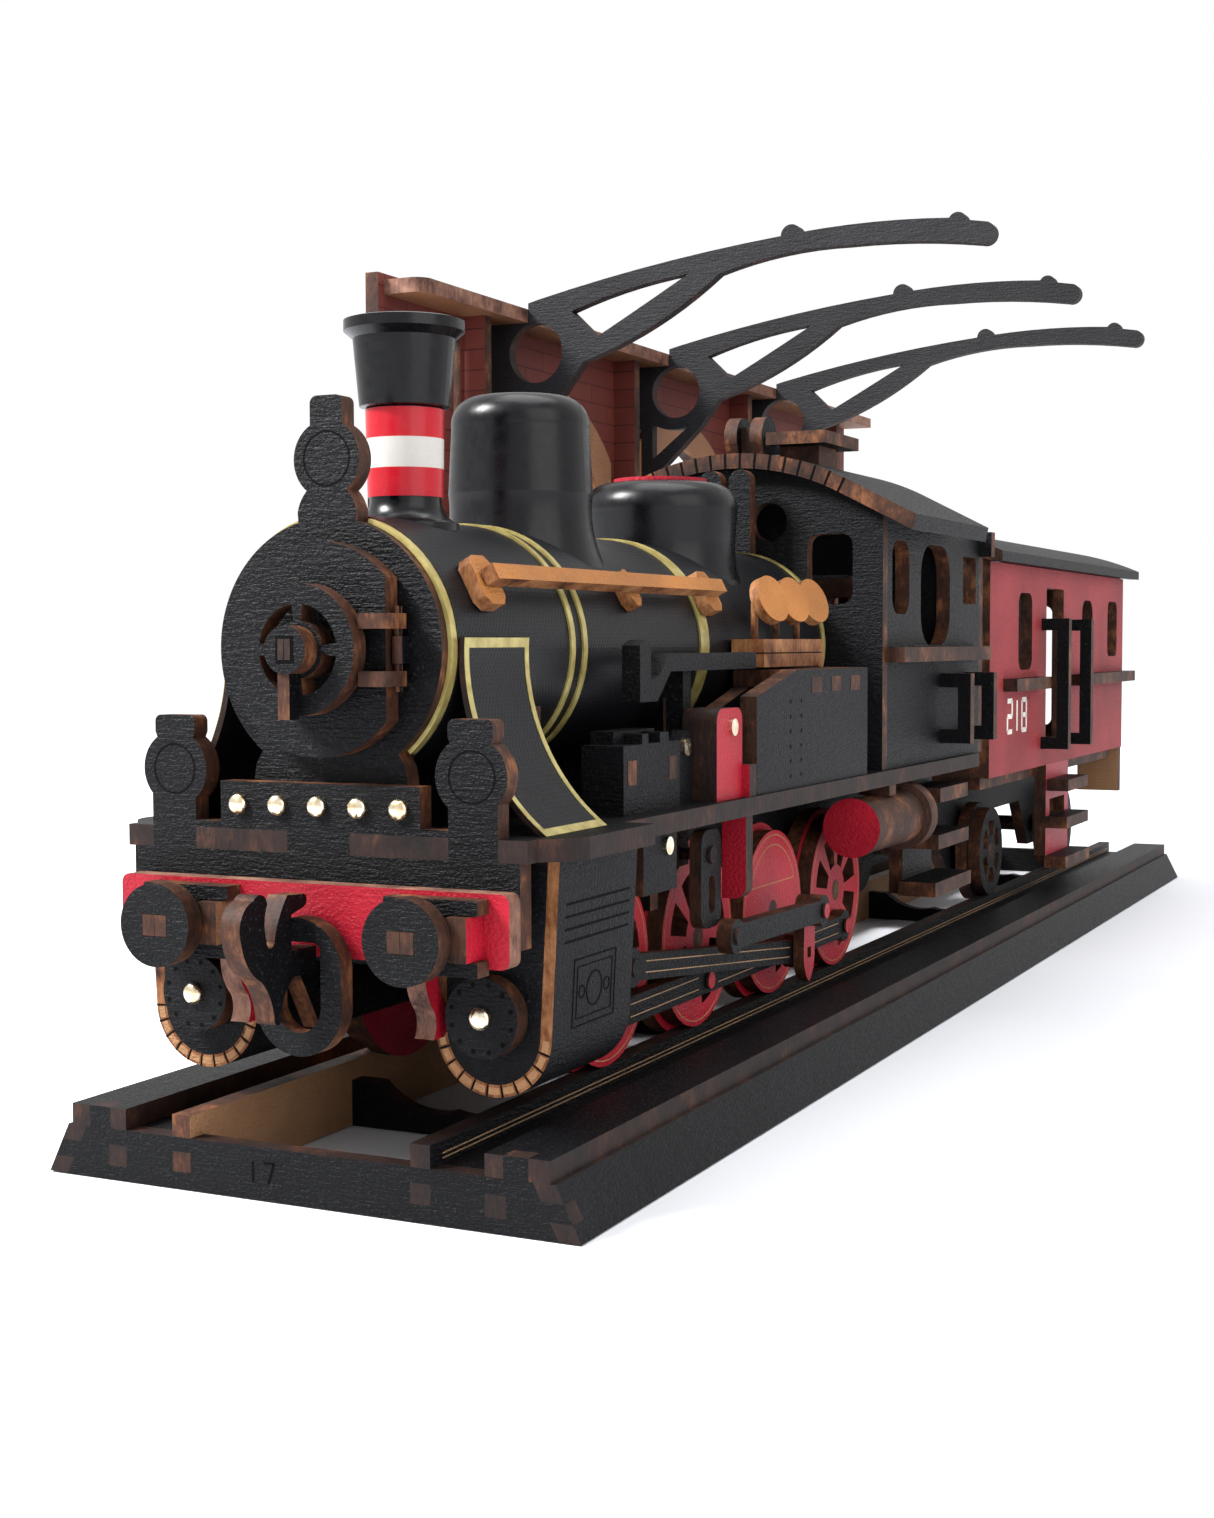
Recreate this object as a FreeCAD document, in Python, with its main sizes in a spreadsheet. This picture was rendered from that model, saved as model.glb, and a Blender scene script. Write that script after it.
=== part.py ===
import FreeCAD, Part
import math
import os
import re
import Sketcher

# Wooden jigsaw train: a steam locomotive and a carriage on a display track, with a station wall and
# canopy arms behind. Millimetres. +Z is up, the train runs along Y and its front looks to -Y.
# Every piece is drawn from the front bottom edge of the track, then moved so that the middle of the
# whole model's footprint is the origin.

CELLS = {
    # the sheet, the track and the platform
    "ply": 2.8, "base_length": 400.0, "foot_half": 39.5, "shoulder_half": 36.2, "shoulder_top": 6.7,
    "deck_inner": 26.7, "deck_outer": 35.5, "rail_inner": 16.4, "rail_top": 9.6,
    # the station wall and its canopy arms
    "wall_face": -65.0, "wall_start": 125.0, "wall_top": 141.0, "first_pilaster": 157.0, "bay": 73.3,
    "first_arm": 169.7, "cornice_z": 137.0,
    # planes of the front of the locomotive
    "buffer_face": -4.5, "beam_face": 2.7, "plate_face": 5.5, "smokebox_face": 8.3, "chest_face": 11.1,
    "buffer_x": 18.0, "buffer_z": 34.7, "buffer_radius": 5.3, "beam_half": 28.8,
    # running board, boiler and its mountings
    "board_z": 43.5, "nose_half": 34.0, "waist_half": 29.5, "boiler_z": 69.3, "boiler_radius": 17.3,
    "boiler_bore": 15.0, "hinge_pin": 0.5, "hinge_x": 11.25, "hinge_y": 6.85, "plate_radius": 16.6, "chimney_y": 27.4, "steam_dome_y": 60.4, "sand_dome_y": 111.6,
    # cab and carriage
    "cab_y": 148.0, "cab_half": 28.4, "cab_end": 215.0, "roof_radius": 48.0, "roof_centre_z": 57.3,
    "carriage_y": 227.0, "carriage_end": 367.0, "carriage_floor": 40.0, "carriage_top": 87.4,
    # wheels and rods
    "axle_z": 23.7, "wheel_radius": 14.0, "flange_radius": 15.2, "first_axle": 49.8, "axle_pitch": 33.0,
    "axle_radius": 2.0, "pin_radius": 0.9, "running_fit": 0.05, "crank_back": -1.5, "crank_down": -6.4, "eccentric_back": -1.2, "eccentric_up": 0.8,
   
    "rod_ply": 2.0, "coupling_x": 19.5, "main_x": 22.3, "link_x": 24.5, "eccentric_x": 26.6,
    "cylinder_x": 21.9, "cylinder_z": 21.6, "cylinder_radius": 8.2, "wrap": 1.6,
    "small_wheel_radius": 10.4, "small_axle_z": 20.1, "carriage_axle_1": 262.0, "carriage_axle_2": 338.0,
    # middle of the footprint
    "centre_x": -12.37, "centre_y": 193.379,
}

doc = FreeCAD.newDocument("jigsaw_train")
sheet = doc.addObject("Spreadsheet::Sheet", "Dims")
for row, (alias, value) in enumerate(CELLS.items(), start=1):
    sheet.set("A%d" % row, alias)
    sheet.set("B%d" % row, str(value))
    sheet.setAlias("B%d" % row, alias)
doc.recompute()


class Sizes:
    """The sheet's cells as plain numbers: size.ply, size.rail_top."""

    def __getattr__(self, alias):
        return float(getattr(sheet, alias))


size = Sizes()
NORMAL = {"XY": "z", "XZ": "y", "YZ": "x"}
nodes = []


# ---------------------------------------------------------------- building blocks

def bind(thing, prop, formula):
    """Bind a property to a formula of cell names, such as 'board_z + ply'."""
    text = re.sub(r"[A-Za-z_]\w*", lambda word: "Dims." + word.group() if word.group() in CELLS else word.group(),
                  str(formula))
    thing.setExpression(prop, text)


def origin_plane(body, plane):
    return next(item for item in body.Origin.OriginFeatures if item.Role == plane + "_Plane")


def circle(u, v, radius):
    return ("circle", (u, v), radius)


def arc(middle, end):
    """A round stretch of an outline, through middle to end."""
    return ("arc", middle, end)


def rectangle(u0, v0, u1, v1):
    return [(u0, v0), (u1, v0), (u1, v1), (u0, v1)]


def rounded(u0, v0, u1, v1, corner):
    """A rectangle with round corners."""
    k = corner * (1 - math.sqrt(0.5))
    return [(u0 + corner, v0), (u1 - corner, v0), arc((u1 - k, v0 + k), (u1, v0 + corner)),
            (u1, v1 - corner), arc((u1 - k, v1 - k), (u1 - corner, v1)),
            (u0 + corner, v1), arc((u0 + k, v1 - k), (u0, v1 - corner)),
            (u0, v0 + corner), arc((u0 + k, v0 + k), (u0 + corner, v0))]


def arched(u0, v0, u1, spring, crown):
    """An opening with upright sides and a round head."""
    return [(u0, v0), (u1, v0), (u1, spring), arc(((u0 + u1) / 2, crown), (u0, spring))]


def polar(u, v, radius, degrees):
    angle = math.radians(degrees)
    return (u + radius * math.cos(angle), v + radius * math.sin(angle))


def ring_sector(u, v, inner, outer, start, end):
    """A stretch of a flat ring between two angles in degrees."""
    middle = (start + end) / 2
    return [polar(u, v, inner, start), polar(u, v, outer, start),
            arc(polar(u, v, outer, middle), polar(u, v, outer, end)),
            polar(u, v, inner, end), arc(polar(u, v, inner, middle), polar(u, v, inner, start))]


def mirrored(outline):
    """The same outline on the other side of the middle plane."""
    def flip(place):
        return (-place[0], place[1])
    if outline[0] == "circle":
        return circle(-outline[1][0], outline[1][1], outline[2])
    return [arc(flip(item[1]), flip(item[2])) if item[0] == "arc" else flip(item) for item in outline]


def both(*outlines):
    """Outlines for the right side with their mirror images."""
    return [item for outline in outlines for item in (outline, mirrored(outline))]


def symmetric(right_half):
    """One closed outline from its right half, drawn from the bottom middle up to the top middle."""
    left = []
    for index in range(len(right_half) - 1, 0, -1):
        item, before = right_half[index], right_half[index - 1]
        before_end = before[2] if before[0] == "arc" else before
        if item[0] == "arc":
            left.append(arc((-item[1][0], item[1][1]), (-before_end[0], before_end[1])))
        elif before_end[0] != 0:
            left.append((-before_end[0], before_end[1]))
    first = right_half[0]
    if first[0] == 0 and left and left[-1] == (0, first[1]):
        left.pop()
    return list(right_half) + left


def trace(sketch, outline):
    """Draw one closed outline or circle in a sketch."""
    if outline[0] == "circle":
        (u, v), radius = outline[1], outline[2]
        number = isinstance(radius, (int, float))
        start = radius if number else 1.0
        index = sketch.addGeometry(Part.Circle(FreeCAD.Vector(u, v, 0), FreeCAD.Vector(0, 0, 1), start))
        sketch.addConstraint(Sketcher.Constraint("DistanceX", -1, 1, index, 3, u))
        sketch.addConstraint(Sketcher.Constraint("DistanceY", -1, 1, index, 3, v))
        sketch.addConstraint(Sketcher.Constraint("Radius", index, start))
        if not number:
            bind(sketch, "Constraints[%d]" % (sketch.ConstraintCount - 1), radius)
        return
    places = [item[2] if item[0] == "arc" else item for item in outline]
    lines = []
    for index, item in enumerate(outline):
        start = FreeCAD.Vector(*places[index - 1], 0)
        end = FreeCAD.Vector(*places[index], 0)
        if item[0] == "arc":
            lines.append(Part.Arc(start, FreeCAD.Vector(*item[1], 0), end))
        elif start.distanceToPoint(end) > 1e-6:
            lines.append(Part.LineSegment(start, end))
    sketch.addGeometry(lines, False)


def board(name, plane, at, outlines, depth="ply", turn=None):
    """A flat piece: outlines on one plane, padded from 'at' in the plane's positive direction."""
    body = doc.addObject("PartDesign::Body", name)
    body.AllowCompound = True
    sketch = body.newObject("Sketcher::SketchObject", name + "_outline")
    sketch.AttachmentSupport = (origin_plane(body, plane), "")
    sketch.MapMode = "FlatFace"
    for outline in outlines:
        trace(sketch, outline)
    pad = body.newObject("PartDesign::Pad", name + "_pad")
    pad.Profile = sketch
    bind(pad, "Length", depth)
    pad.Reversed = plane == "XZ"
    body.Tip = pad
    if turn:
        body.Placement = turn
    else:
        bind(body, "Placement.Base." + NORMAL[plane], at)
    return body


def pair(name, inner, outlines, depth="ply"):
    """The same upright board on the right and on the left, standing 'inner' from the middle."""
    return [board(name + "_right", "YZ", inner, outlines, depth),
            board(name + "_left", "YZ", "-(%s) - (%s)" % (inner, depth), outlines, depth)]


def turned(name, y, profile):
    """A turned piece on an upright axis in the middle plane, from its half profile (radius, height)."""
    body = doc.addObject("PartDesign::Body", name)
    sketch = body.newObject("Sketcher::SketchObject", name + "_profile")
    sketch.AttachmentSupport = (origin_plane(body, "XZ"), "")
    sketch.MapMode = "FlatFace"
    trace(sketch, profile)
    revolution = body.newObject("PartDesign::Revolution", name + "_turn")
    revolution.Profile = sketch
    revolution.ReferenceAxis = (sketch, ["V_Axis"])
    revolution.Angle = 360
    body.Tip = revolution
    bind(body, "Placement.Base.y", y)
    return body


def cut(name, base, tool):
    thing = doc.addObject("Part::Cut", name)
    thing.Base = base
    thing.Tool = tool
    return thing


def cross_bar(name, radius, y, z, start, length):
    """A round bar along X."""
    bar = doc.addObject("Part::Cylinder", name)
    bind(bar, "Radius", radius)
    bind(bar, "Height", length)
    bar.Placement.Rotation = FreeCAD.Rotation(FreeCAD.Vector(0, 1, 0), 90)
    bind(bar, "Placement.Base.x", start)
    bind(bar, "Placement.Base.y", y)
    bind(bar, "Placement.Base.z", z)
    return bar


def node(label, *pieces):
    """One handed-in sub-part: its pieces together, moved to the model's own origin."""
    group = doc.addObject("Part::Compound", label)
    group.Label = label
    group.Links = list(pieces)
    bind(group, "Placement.Base.x", "-centre_x")
    bind(group, "Placement.Base.y", "-centre_y")
    nodes.append(group)


def half_length_boards(name, plane, at, front_outlines):
    """A board of the track's front half and its mirror image in the rear half."""
    def to_rear(outline):
        def flip(place):
            return (size.base_length - place[0], place[1]) if plane == "YZ" else \
                (place[0], size.base_length - place[1])
        return [arc(flip(item[1]), flip(item[2])) if item[0] == "arc" else flip(item) for item in outline]
    return board(name, plane, at, front_outlines + [to_rear(outline) for outline in front_outlines])


# ---------------------------------------------------------------- display track

def build_track():
    ply, half, top = size.ply, size.base_length / 2, size.shoulder_top
    slope = (size.foot_half - size.shoulder_half) / top
    notch = (2.2, 4.5)            # heights of the tab that locks a corner
    deck_tab = (29.2, 32.6)       # the tab between the prongs of a deck strip

    def outside(z):
        return size.foot_half - slope * z

    panel = [(outside(0), 0), (outside(top), top), (outside(top) - 3.0, top), (outside(0) - 3.0, 0)]
    right = [(0, 0), (outside(0) - 3.0, 0), (outside(notch[0]) - 3.0, notch[0]), (outside(notch[0]), notch[0]),
             (outside(notch[1]), notch[1]), (outside(notch[1]) - 3.0, notch[1]), (outside(top) - 3.0, top),
             (deck_tab[1], top), (deck_tab[1], top + ply), (deck_tab[0], top + ply), (deck_tab[0], top), (0, top)]
    slots = both(rectangle(size.rail_inner, 2.2, size.rail_inner + ply, 4.8),
                 rectangle(size.deck_inner, 1.8, size.deck_inner + ply, 4.6))
    plate = [symmetric(right)] + slots
    node("base_end_plates", board("front_end_plate", "XZ", 0, plate),
         board("rear_end_plate", "XZ", "base_length - ply", plate))

    panels = []
    for which, start in (("front", "0"), ("rear", "base_length / 2")):
        side = board("side_panels_" + which, "XZ", start, both(panel), "base_length / 2")
        end = "0" if which == "front" else "base_length - ply"
        key = board("panel_notch_" + which, "XZ", end, both(rectangle(30, notch[0], 42, notch[1])))
        panels.append(cut("notched_panels_" + which, side, key))
    node("base_side_panels", *panels)

    strip = [(size.deck_inner, 0), (deck_tab[0], 0), (deck_tab[0], ply), (deck_tab[1], ply), (deck_tab[1], 0),
             (size.deck_outer, 0), (size.deck_outer, half), (size.deck_inner, half)]
    node("base_decks", half_length_boards("deck_strips", "XY", "shoulder_top", both(strip)))

    rail = [(0, top), (ply, top), (ply, 4.8), (0, 4.8), (0, 2.2), (ply, 2.2), (ply, 0), (half, 0),
            (half, size.rail_top), (0, size.rail_top)]
    node("inner_rails", half_length_boards("rail_right", "YZ", "rail_inner", [rail]),
         half_length_boards("rail_left", "YZ", "-rail_inner - ply", [rail]))

    support = [(0, 4.6), (0, 1.8), (ply, 1.8), (ply, 0), (half, 0), (half, top), (ply, top), (ply, 4.6)]
    floor = rectangle(size.rail_inner + ply, ply, size.deck_inner, half)
    wave = symmetric([(0, 0), (size.rail_inner, 0), (size.rail_inner, top), (12.0, top),
                      arc((8.5, 4.2), (0, 3.4))])
    members = [board("cross_member_%d" % index, "XZ", y, [wave])
               for index, y in enumerate((38.0, 118.0, 198.6, 278.0, 358.0), start=1)]
    node("base_channel_boards", half_length_boards("deck_support_right", "YZ", "deck_inner", [support]),
         half_length_boards("deck_support_left", "YZ", "-deck_inner - ply", [support]),
         half_length_boards("channel_floors", "XY", "shoulder_top - ply", both(floor)), *members)


# ---------------------------------------------------------------- station wall and canopy

def build_station():
    start, end, face, ply = size.wall_start, size.base_length, size.wall_face, size.ply
    ribs = [board("platform_rib_%d" % index, "XZ", y, [rectangle(face, 0, -size.foot_half - 0.4, size.shoulder_top)])
            for index, y in enumerate((start, 215.0, 305.0, end - ply), start=1)]
    node("platform_boards",
         board("platform_deck", "XY", "shoulder_top", [rectangle(face, start, -size.deck_outer, end)]), *ribs)

    bays = [size.first_pilaster + size.bay * (index + 0.5) for index in range(3)]
    doors = [arched(y - 24.4, 14, y + 24.4, 106, 119.8) for y in bays] + [arched(130.0, 14, 148.0, 106, 114)]
    slits = [rectangle(size.first_pilaster - 3.4, 20, size.first_pilaster - 0.6, 134)]
    node("station_wall", board("wall_sheet", "YZ", "wall_face - ply",
                               [rectangle(start, 0, end, size.wall_top)] + doors + slits))

    trims = []
    for y in bays:
        trims.append([(y - 32, 14), (y - 24.4, 14), (y - 24.4, 106), arc((y, 119.8), (y + 24.4, 106)), (y + 24.4, 14),
                      (y + 32, 14), (y + 32, 112.5), arc((y, 127), (y - 32, 112.5))])
    node("arch_trims", board("arch_frames", "YZ", "wall_face", trims, 1.4))

    cornice = [(face, start + 2), (face + 5, start + 2), arc((face + 8, start + 3), (face + 8.8, start + 6)),
               (face + 8.8, end), (face, end)]
    strips = [board("cornice", "XY", "cornice_z", [cornice])]
    for index in range(4):
        y = size.first_pilaster + size.bay * index
        strips.append(board("pilaster_rib_%d" % (index + 1), "XZ", y, [rectangle(face, 9.6, face + 5.5, size.cornice_z)]))
        strips.append(board("pilaster_face_%d" % (index + 1), "YZ", "wall_face",
                            [rectangle(y + ply, 9.6, y + 4.6, size.cornice_z)]))
    node("wall_pilasters", *strips)

    # the arm: a leg on the wall, a ring, a brace, and a bowed chord with a strut running into it
    outer = [(face, 100), (face + 4, 100), (face + 4, 109.5), (-47.9, 122.1), (-43.2, 128.2),
             arc((-29.5, 133.4), (-13, 143.6)), arc((3, 146.6), (14, 146.9)), arc((27, 146.5), (40.3, 144.9)),
             arc((43.0, 146.4), (41.6, 148.9)), (37.6, 149.6), arc((36.2, 151.2), (34.2, 150.3)),
             arc((20, 150.9), (4.4, 150.3)), arc((2.2, 152.0), (0.2, 149.9)),
             arc((-27, 146.6), (-53.7, 141.6)), (face + 8.9, 141.0), (face + 8.9, size.cornice_z),
             (face, size.cornice_z), (face, 122.5), (face + 1.5, 122.5), (face + 1.5, 105.5), (face, 105.5)]
    ring = circle(-54.4, 130.6, 6.2)
    gap = [(-46.0, 138.6), (-40.2, 133.0), arc((-30.5, 138.2), (-19.6, 144.2)), arc((-33, 142.2), (-46.0, 138.6))]
    brace = [(-60.6, 114.6), (-50.6, 122.6), arc((-55.4, 121.6), (-60.6, 123.2))]
    arms = [board("canopy_arm_%d" % (index + 1), "XZ", size.first_arm + size.bay * index, [outer, ring, gap, brace])
            for index in range(3)]
    node("canopy_arms", *arms)


# ---------------------------------------------------------------- front of the locomotive

def build_front():
    ply = size.ply
    node("buffer_beam", board("beam_board", "XZ", "beam_face",
                              [rounded(-size.beam_half, 31.0, size.beam_half, 40.1, 1.2)]))

    x, z = size.buffer_x, size.buffer_z
    head = [circle(x, z, "buffer_radius"), rectangle(x - 1.9, z - 1.4, x + 1.9, z + 1.4)]
    head += [circle(-x, z, "buffer_radius"), rectangle(-x - 1.9, z - 1.4, -x + 1.9, z + 1.4)]
    heads = board("buffer_heads", "XZ", "buffer_face", head)

    stalk = both(rectangle(x - 1.84, size.buffer_face, x - 0.03, size.beam_face),
                 rectangle(x + 0.03, size.buffer_face, x + 1.84, size.beam_face))
    stalk_body = board("buffer_stalks", "XY", "buffer_z - 1.34", stalk, "ply - 0.12")
    bracket = [(x - 5.0, 30.3), (x + 8.0, 30.3), (x + 8.0, 32.1), (x + 3.4, 32.1), (x + 3.4, 37.7), (x + 8.0, 37.7),
               (x + 8.0, 39.5), (x - 5.0, 39.5)]
    gate = rectangle(x - 1.9, z - 1.4, x + 1.9, z + 1.4)
    left = [(-x + (u + x) - 2 * x, v) for u, v in bracket]
    plates = board("buffer_plates", "XZ", "beam_face - ply", [bracket, left] + both(gate))
    blocks = [board("buffer_block_right", "YZ", "buffer_x + 4.4", [rectangle(-1.4, 32.2, size.beam_face, 37.6)]),
              board("buffer_block_left", "YZ", "-buffer_x + 4.4", [rectangle(-1.4, 32.2, size.beam_face, 37.6)])]
    node("buffers", heads, stalk_body, plates, *blocks)

    hook = [(2.7, 32.4), (-2.6, 32.4), (-2.6, 36.9), (0.1, 37.6), arc((0.7, 38.6), (-0.4, 39.2)), (-3.4, 39.4),
            arc((-5.2, 36.8), (-6.2, 34.2)), arc((-7.0, 33.4), (-7.8, 34.3)), arc((-8.2, 36.6), (-7.6, 38.8)),
            arc((-8.6, 40.0), (-10.4, 39.5)), arc((-12.9, 37.6), (-12.9, 34.6)), arc((-11.2, 31.2), (-9.0, 29.6)),
            arc((-7.4, 27.6), (-6.4, 24.6)), arc((-5.6, 23.8), (-4.9, 24.6)), arc((-4.2, 27.2), (-2.0, 29.2)),
            (2.7, 29.2)]
    node("coupling_hook", board("hook_board", "YZ", "-ply / 2", [hook]))

    # front plate: one sheet with both side lamps, the web between the slots and the riveted box front
    right = [(0, 33.0), (size.beam_half, 33.0), (size.beam_half, size.board_z), (25.8, size.board_z), (25.8, 50.5),
             arc((27.1, 53.8), (24.9, 57.9)), (25.2, 58.6), (25.2, 60.0), arc((24.9, 60.6), (24.2, 60.8)),
             (19.9, 60.8), arc((19.2, 60.6), (18.9, 60.0)), (18.9, 58.6), (19.2, 57.9), arc((17.1, 53.8), (18.9, 50.0)),
             (18.9, 47.2), (14.9, 47.2), (14.9, 52.4), (0, 52.4)]
    slot = rectangle(4.7, size.board_z, 18.9, size.board_z + ply)
    node("front_plate", board("front_sheet", "XZ", "plate_face", [symmetric(right)] + both(slot)))

    # smokebox front: round plate with a foot on the running board and the top lamp
    cz, radius = size.boiler_z, size.plate_radius
    low = polar(0, cz, radius, -52)
    neck = polar(0, cz, radius, 75)
    right = [(0, size.board_z + ply), (12.6, size.board_z + ply), (11.2, 54.6), low, arc(polar(0, cz, radius, 10), neck),
             (4.4, 86.6), arc((3.7, 88.4), (3.0, 89.3)), arc((4.9, 93.2), (2.4, 97.5)), (2.4, 100.2),
             arc((2.1, 100.9), (1.4, 101.2)), (0, 101.2)]
    hx, hy, lug = size.hinge_x, size.hinge_y, 0.8
    lug_line = [(hx + lug, hy), (hx + lug, size.smokebox_face), (hx - lug, size.smokebox_face), (hx - lug, hy),
                arc((hx, hy - lug), (hx + lug, hy))]
    lugs = board("hinge_lugs", "XY", 67.5, [lug_line, circle(hx, hy, "hinge_pin")], 3.4)
    pin = board("door_pin", "XY", 64.0, [circle(hx, hy, "hinge_pin")], 10.6)
    node("smokebox_plate", board("smokebox_sheet", "XZ", "smokebox_face", [symmetric(right)]), lugs, pin)

    guard = [(8.4, 33.0), (5.6, 33.0), (5.6, 29.0), arc((6.2, 26.4), (7.6, 24.4)), arc((8.2, 22.8), (7.6, 20.7)),
             (10.2, 20.7), arc((10.9, 23.2), (10.0, 25.4)), arc((8.8, 28.0), (8.6, 31.0))]
    node("rail_guards", *pair("guard", 12.6, [guard]))


# ---------------------------------------------------------------- smokebox door, hand wheel, coupling link

def build_door():
    cz, ply = size.boiler_z - 0.05, size.ply
    hinge_x, hinge_y = size.hinge_x, size.hinge_y
    right_top = (10.3, cz + math.sqrt(13.6 ** 2 - 10.3 ** 2))
    right_low = (10.3, cz - math.sqrt(13.6 ** 2 - 10.3 ** 2))
    disc = [right_low, right_top, arc((-13.6, cz), right_low)]
    door = board("door_disc", "XZ", 5.4, [disc, circle(0, cz, 1.0)])
    straps = []
    for name, z in (("top", 71.8), ("bottom", 64.7)):
        strap = [(7.9, 2.8), (hinge_x, 2.8), arc((hinge_x + 0.72, 3.1), (hinge_x + 1.0, 3.8)),
                 (hinge_x + 1.0, hinge_y), arc((hinge_x + 0.707, hinge_y + 0.707), (hinge_x, hinge_y + 1.0)),
                 (10.3, hinge_y + 1.0), (10.3, 5.4), (7.9, 5.4)]
        straps.append(board("door_strap_" + name, "XY", z, [strap, circle(hinge_x, hinge_y, "hinge_pin + running_fit")], 1.9))
    spindle = board("door_spindle", "XZ", -1.4, [circle(0, cz, 1.0)], 9.6)
    node("smokebox_door", door, spindle, *straps)

    spokes = []
    for start in (8, 98, 188, 278):
        spokes.append(ring_sector(0, cz, 3.6, 5.7, start, start + 74))
    rim = board("hand_wheel_rim", "XZ", 1.4, [circle(0, cz, 8.2), circle(0, cz, "1.0 + running_fit")] + spokes)
    hub = board("hand_wheel_hub", "XZ", -1.4, [circle(0, cz, 3.0), circle(0, cz, "1.0 + running_fit")])
    grip = [(-1.3, cz - 8.6), (0.4, cz - 8.6), (0.4, cz - math.sqrt(9 - 0.16)),
            arc((-0.5, cz - math.sqrt(9 - 0.25)), (-1.3, cz - math.sqrt(9 - 1.69)))]
    handle = board("hand_wheel_handle", "XZ", -1.0, [grip], 2.0)
    node("hand_wheel", rim, hub, handle)

    cx, top, bottom, outer, inner = 1.5, 36.4, 19.2, 6.3, 3.35
    link = [(cx + outer, bottom + outer), (cx + outer, top - outer), arc((cx, top), (cx - outer, top - outer)),
            (cx - outer, bottom + outer), arc((cx, bottom), (cx + outer, bottom + outer))]
    flat, corner = 33.45, 1.1
    bend = corner * (1 - math.sqrt(0.5))
    eye = [(cx + inner, bottom + outer), (cx + inner, flat - corner),
           arc((cx + inner - bend, flat - bend), (cx + inner - corner, flat)), (cx - inner + corner, flat),
           arc((cx - inner + bend, flat - bend), (cx - inner, flat - corner)), (cx - inner, bottom + outer),
           arc((cx, bottom + outer - inner), (cx + inner, bottom + outer))]
    node("coupling_link", board("link_ring", "XZ", -1.6, [link, eye], 2.6))


# ---------------------------------------------------------------- boiler and mountings

def build_boiler():
    cz, radius, ply = size.boiler_z, size.boiler_radius, size.ply
    shell = board("boiler_tube", "XZ", "smokebox_face + ply", [circle(0, cz, "boiler_radius"), circle(0, cz, "boiler_bore")],
                  "cab_y - smokebox_face - ply")
    node("boiler_shell", shell)

    edging = [ring_sector(0, cz, 16.65, 17.2, -50, 72), ring_sector(0, cz, 16.65, 17.2, 108, 230)]
    hoops = [board("smokebox_edging", "XZ", "smokebox_face + 1.4", edging, 1.4)]
    for index, (y, width) in enumerate(((42.0, 1.3), (45.8, 1.3), (88.0, 3.4), (146.0, 1.3)), start=1):
        hoops.append(board("hoop_%d" % index, "XZ", y, [circle(0, cz, "boiler_radius + 0.3"), circle(0, cz, "boiler_radius")],
                           width))
    node("boiler_bands", *hoops)

    barrel = board("boiler_envelope", "XZ", 0, [circle(0, cz, "boiler_radius")], 200)
    funnel = turned("chimney_turned", "chimney_y",
                    [(0, 80), (7.3, 80), (7.2, 86.0), arc((5.5, 87.2), (4.8, 89.4)), (5.0, 101.3), (6.1, 101.6),
                     (6.9, 110.6), (8.1, 111.6), (8.1, 113.0), (7.4, 113.2), (6.2, 108.5), (0, 108.5)])
    collar = turned("chimney_collar", "chimney_y", [(4.82, 89.5), (5.1, 89.5), (5.3, 101.2), (5.01, 101.2)])
    node("chimney", cut("chimney_fitted", funnel, barrel), collar)
    steam = turned("steam_dome_turned", "steam_dome_y",
                   [(0, 78), (13.0, 78), (12.9, 81.0), arc((11.1, 85.6), (10.8, 92.0)), (10.3, 101.8),
                    arc((9.3, 105.1), (6.4, 106.5)), (0, 106.6)])
    node("steam_dome", cut("steam_dome_fitted", steam, barrel))
    sand = turned("sand_dome_turned", "sand_dome_y",
                  [(0, 78), (14.0, 78), (13.9, 80.5), arc((13.1, 83.5), (12.9, 87.0)), (13.3, 92.2),
                   arc((12.4, 95.6), (9.0, 97.2)), (8.4, 97.4), (0, 97.4)])
    cap = turned("sand_dome_cap", "sand_dome_y", [(0, 97.4), (8.0, 97.4), (8.0, 98.0), (0, 98.0)])
    node("sand_dome", cut("sand_dome_fitted", sand, barrel), cap)

    # curved side sheets between the smokebox and the running board
    sheet_line = [(17.4, 70.7), arc((19.4, 57.6), (28.4, 46.3)), (29.4, 46.3), arc((20.2, 57.9), (18.1, 70.7))]
    node("smokebox_skirts", board("skirt_sheets", "XZ", 11.3, both(sheet_line), 17.0))

    cradle = [(-15.4, 46.3), (15.4, 46.3), (15.4, cz - math.sqrt(radius ** 2 - 15.4 ** 2) - 0.02),
              arc((0, cz - radius - 0.02), (-15.4, cz - math.sqrt(radius ** 2 - 15.4 ** 2) - 0.02))]
    saddles = [board("saddle_%d" % index, "XZ", y, [cradle]) for index, y in enumerate((34.0, 78.0, 140.0), start=1)]
    node("boiler_saddles", *saddles)

    build_handrails()
    build_gauges()
    rod = [(50.2, 61.6), (56.2, 61.6), (61.0, 65.8), (95.0, 65.8), (95.0, 68.4), (60.0, 68.4), (57.2, 65.4),
           (54.0, 64.6), (54.0, 69.2), (52.6, 70.4), (50.2, 69.6)]
    stand = rectangle(70.0, 46.3, 73.0, 65.8)
    node("reach_rods", *pair("reach_rod", 21.4, [rod]), *pair("reach_stand", 19.4, [stand]))


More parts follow.
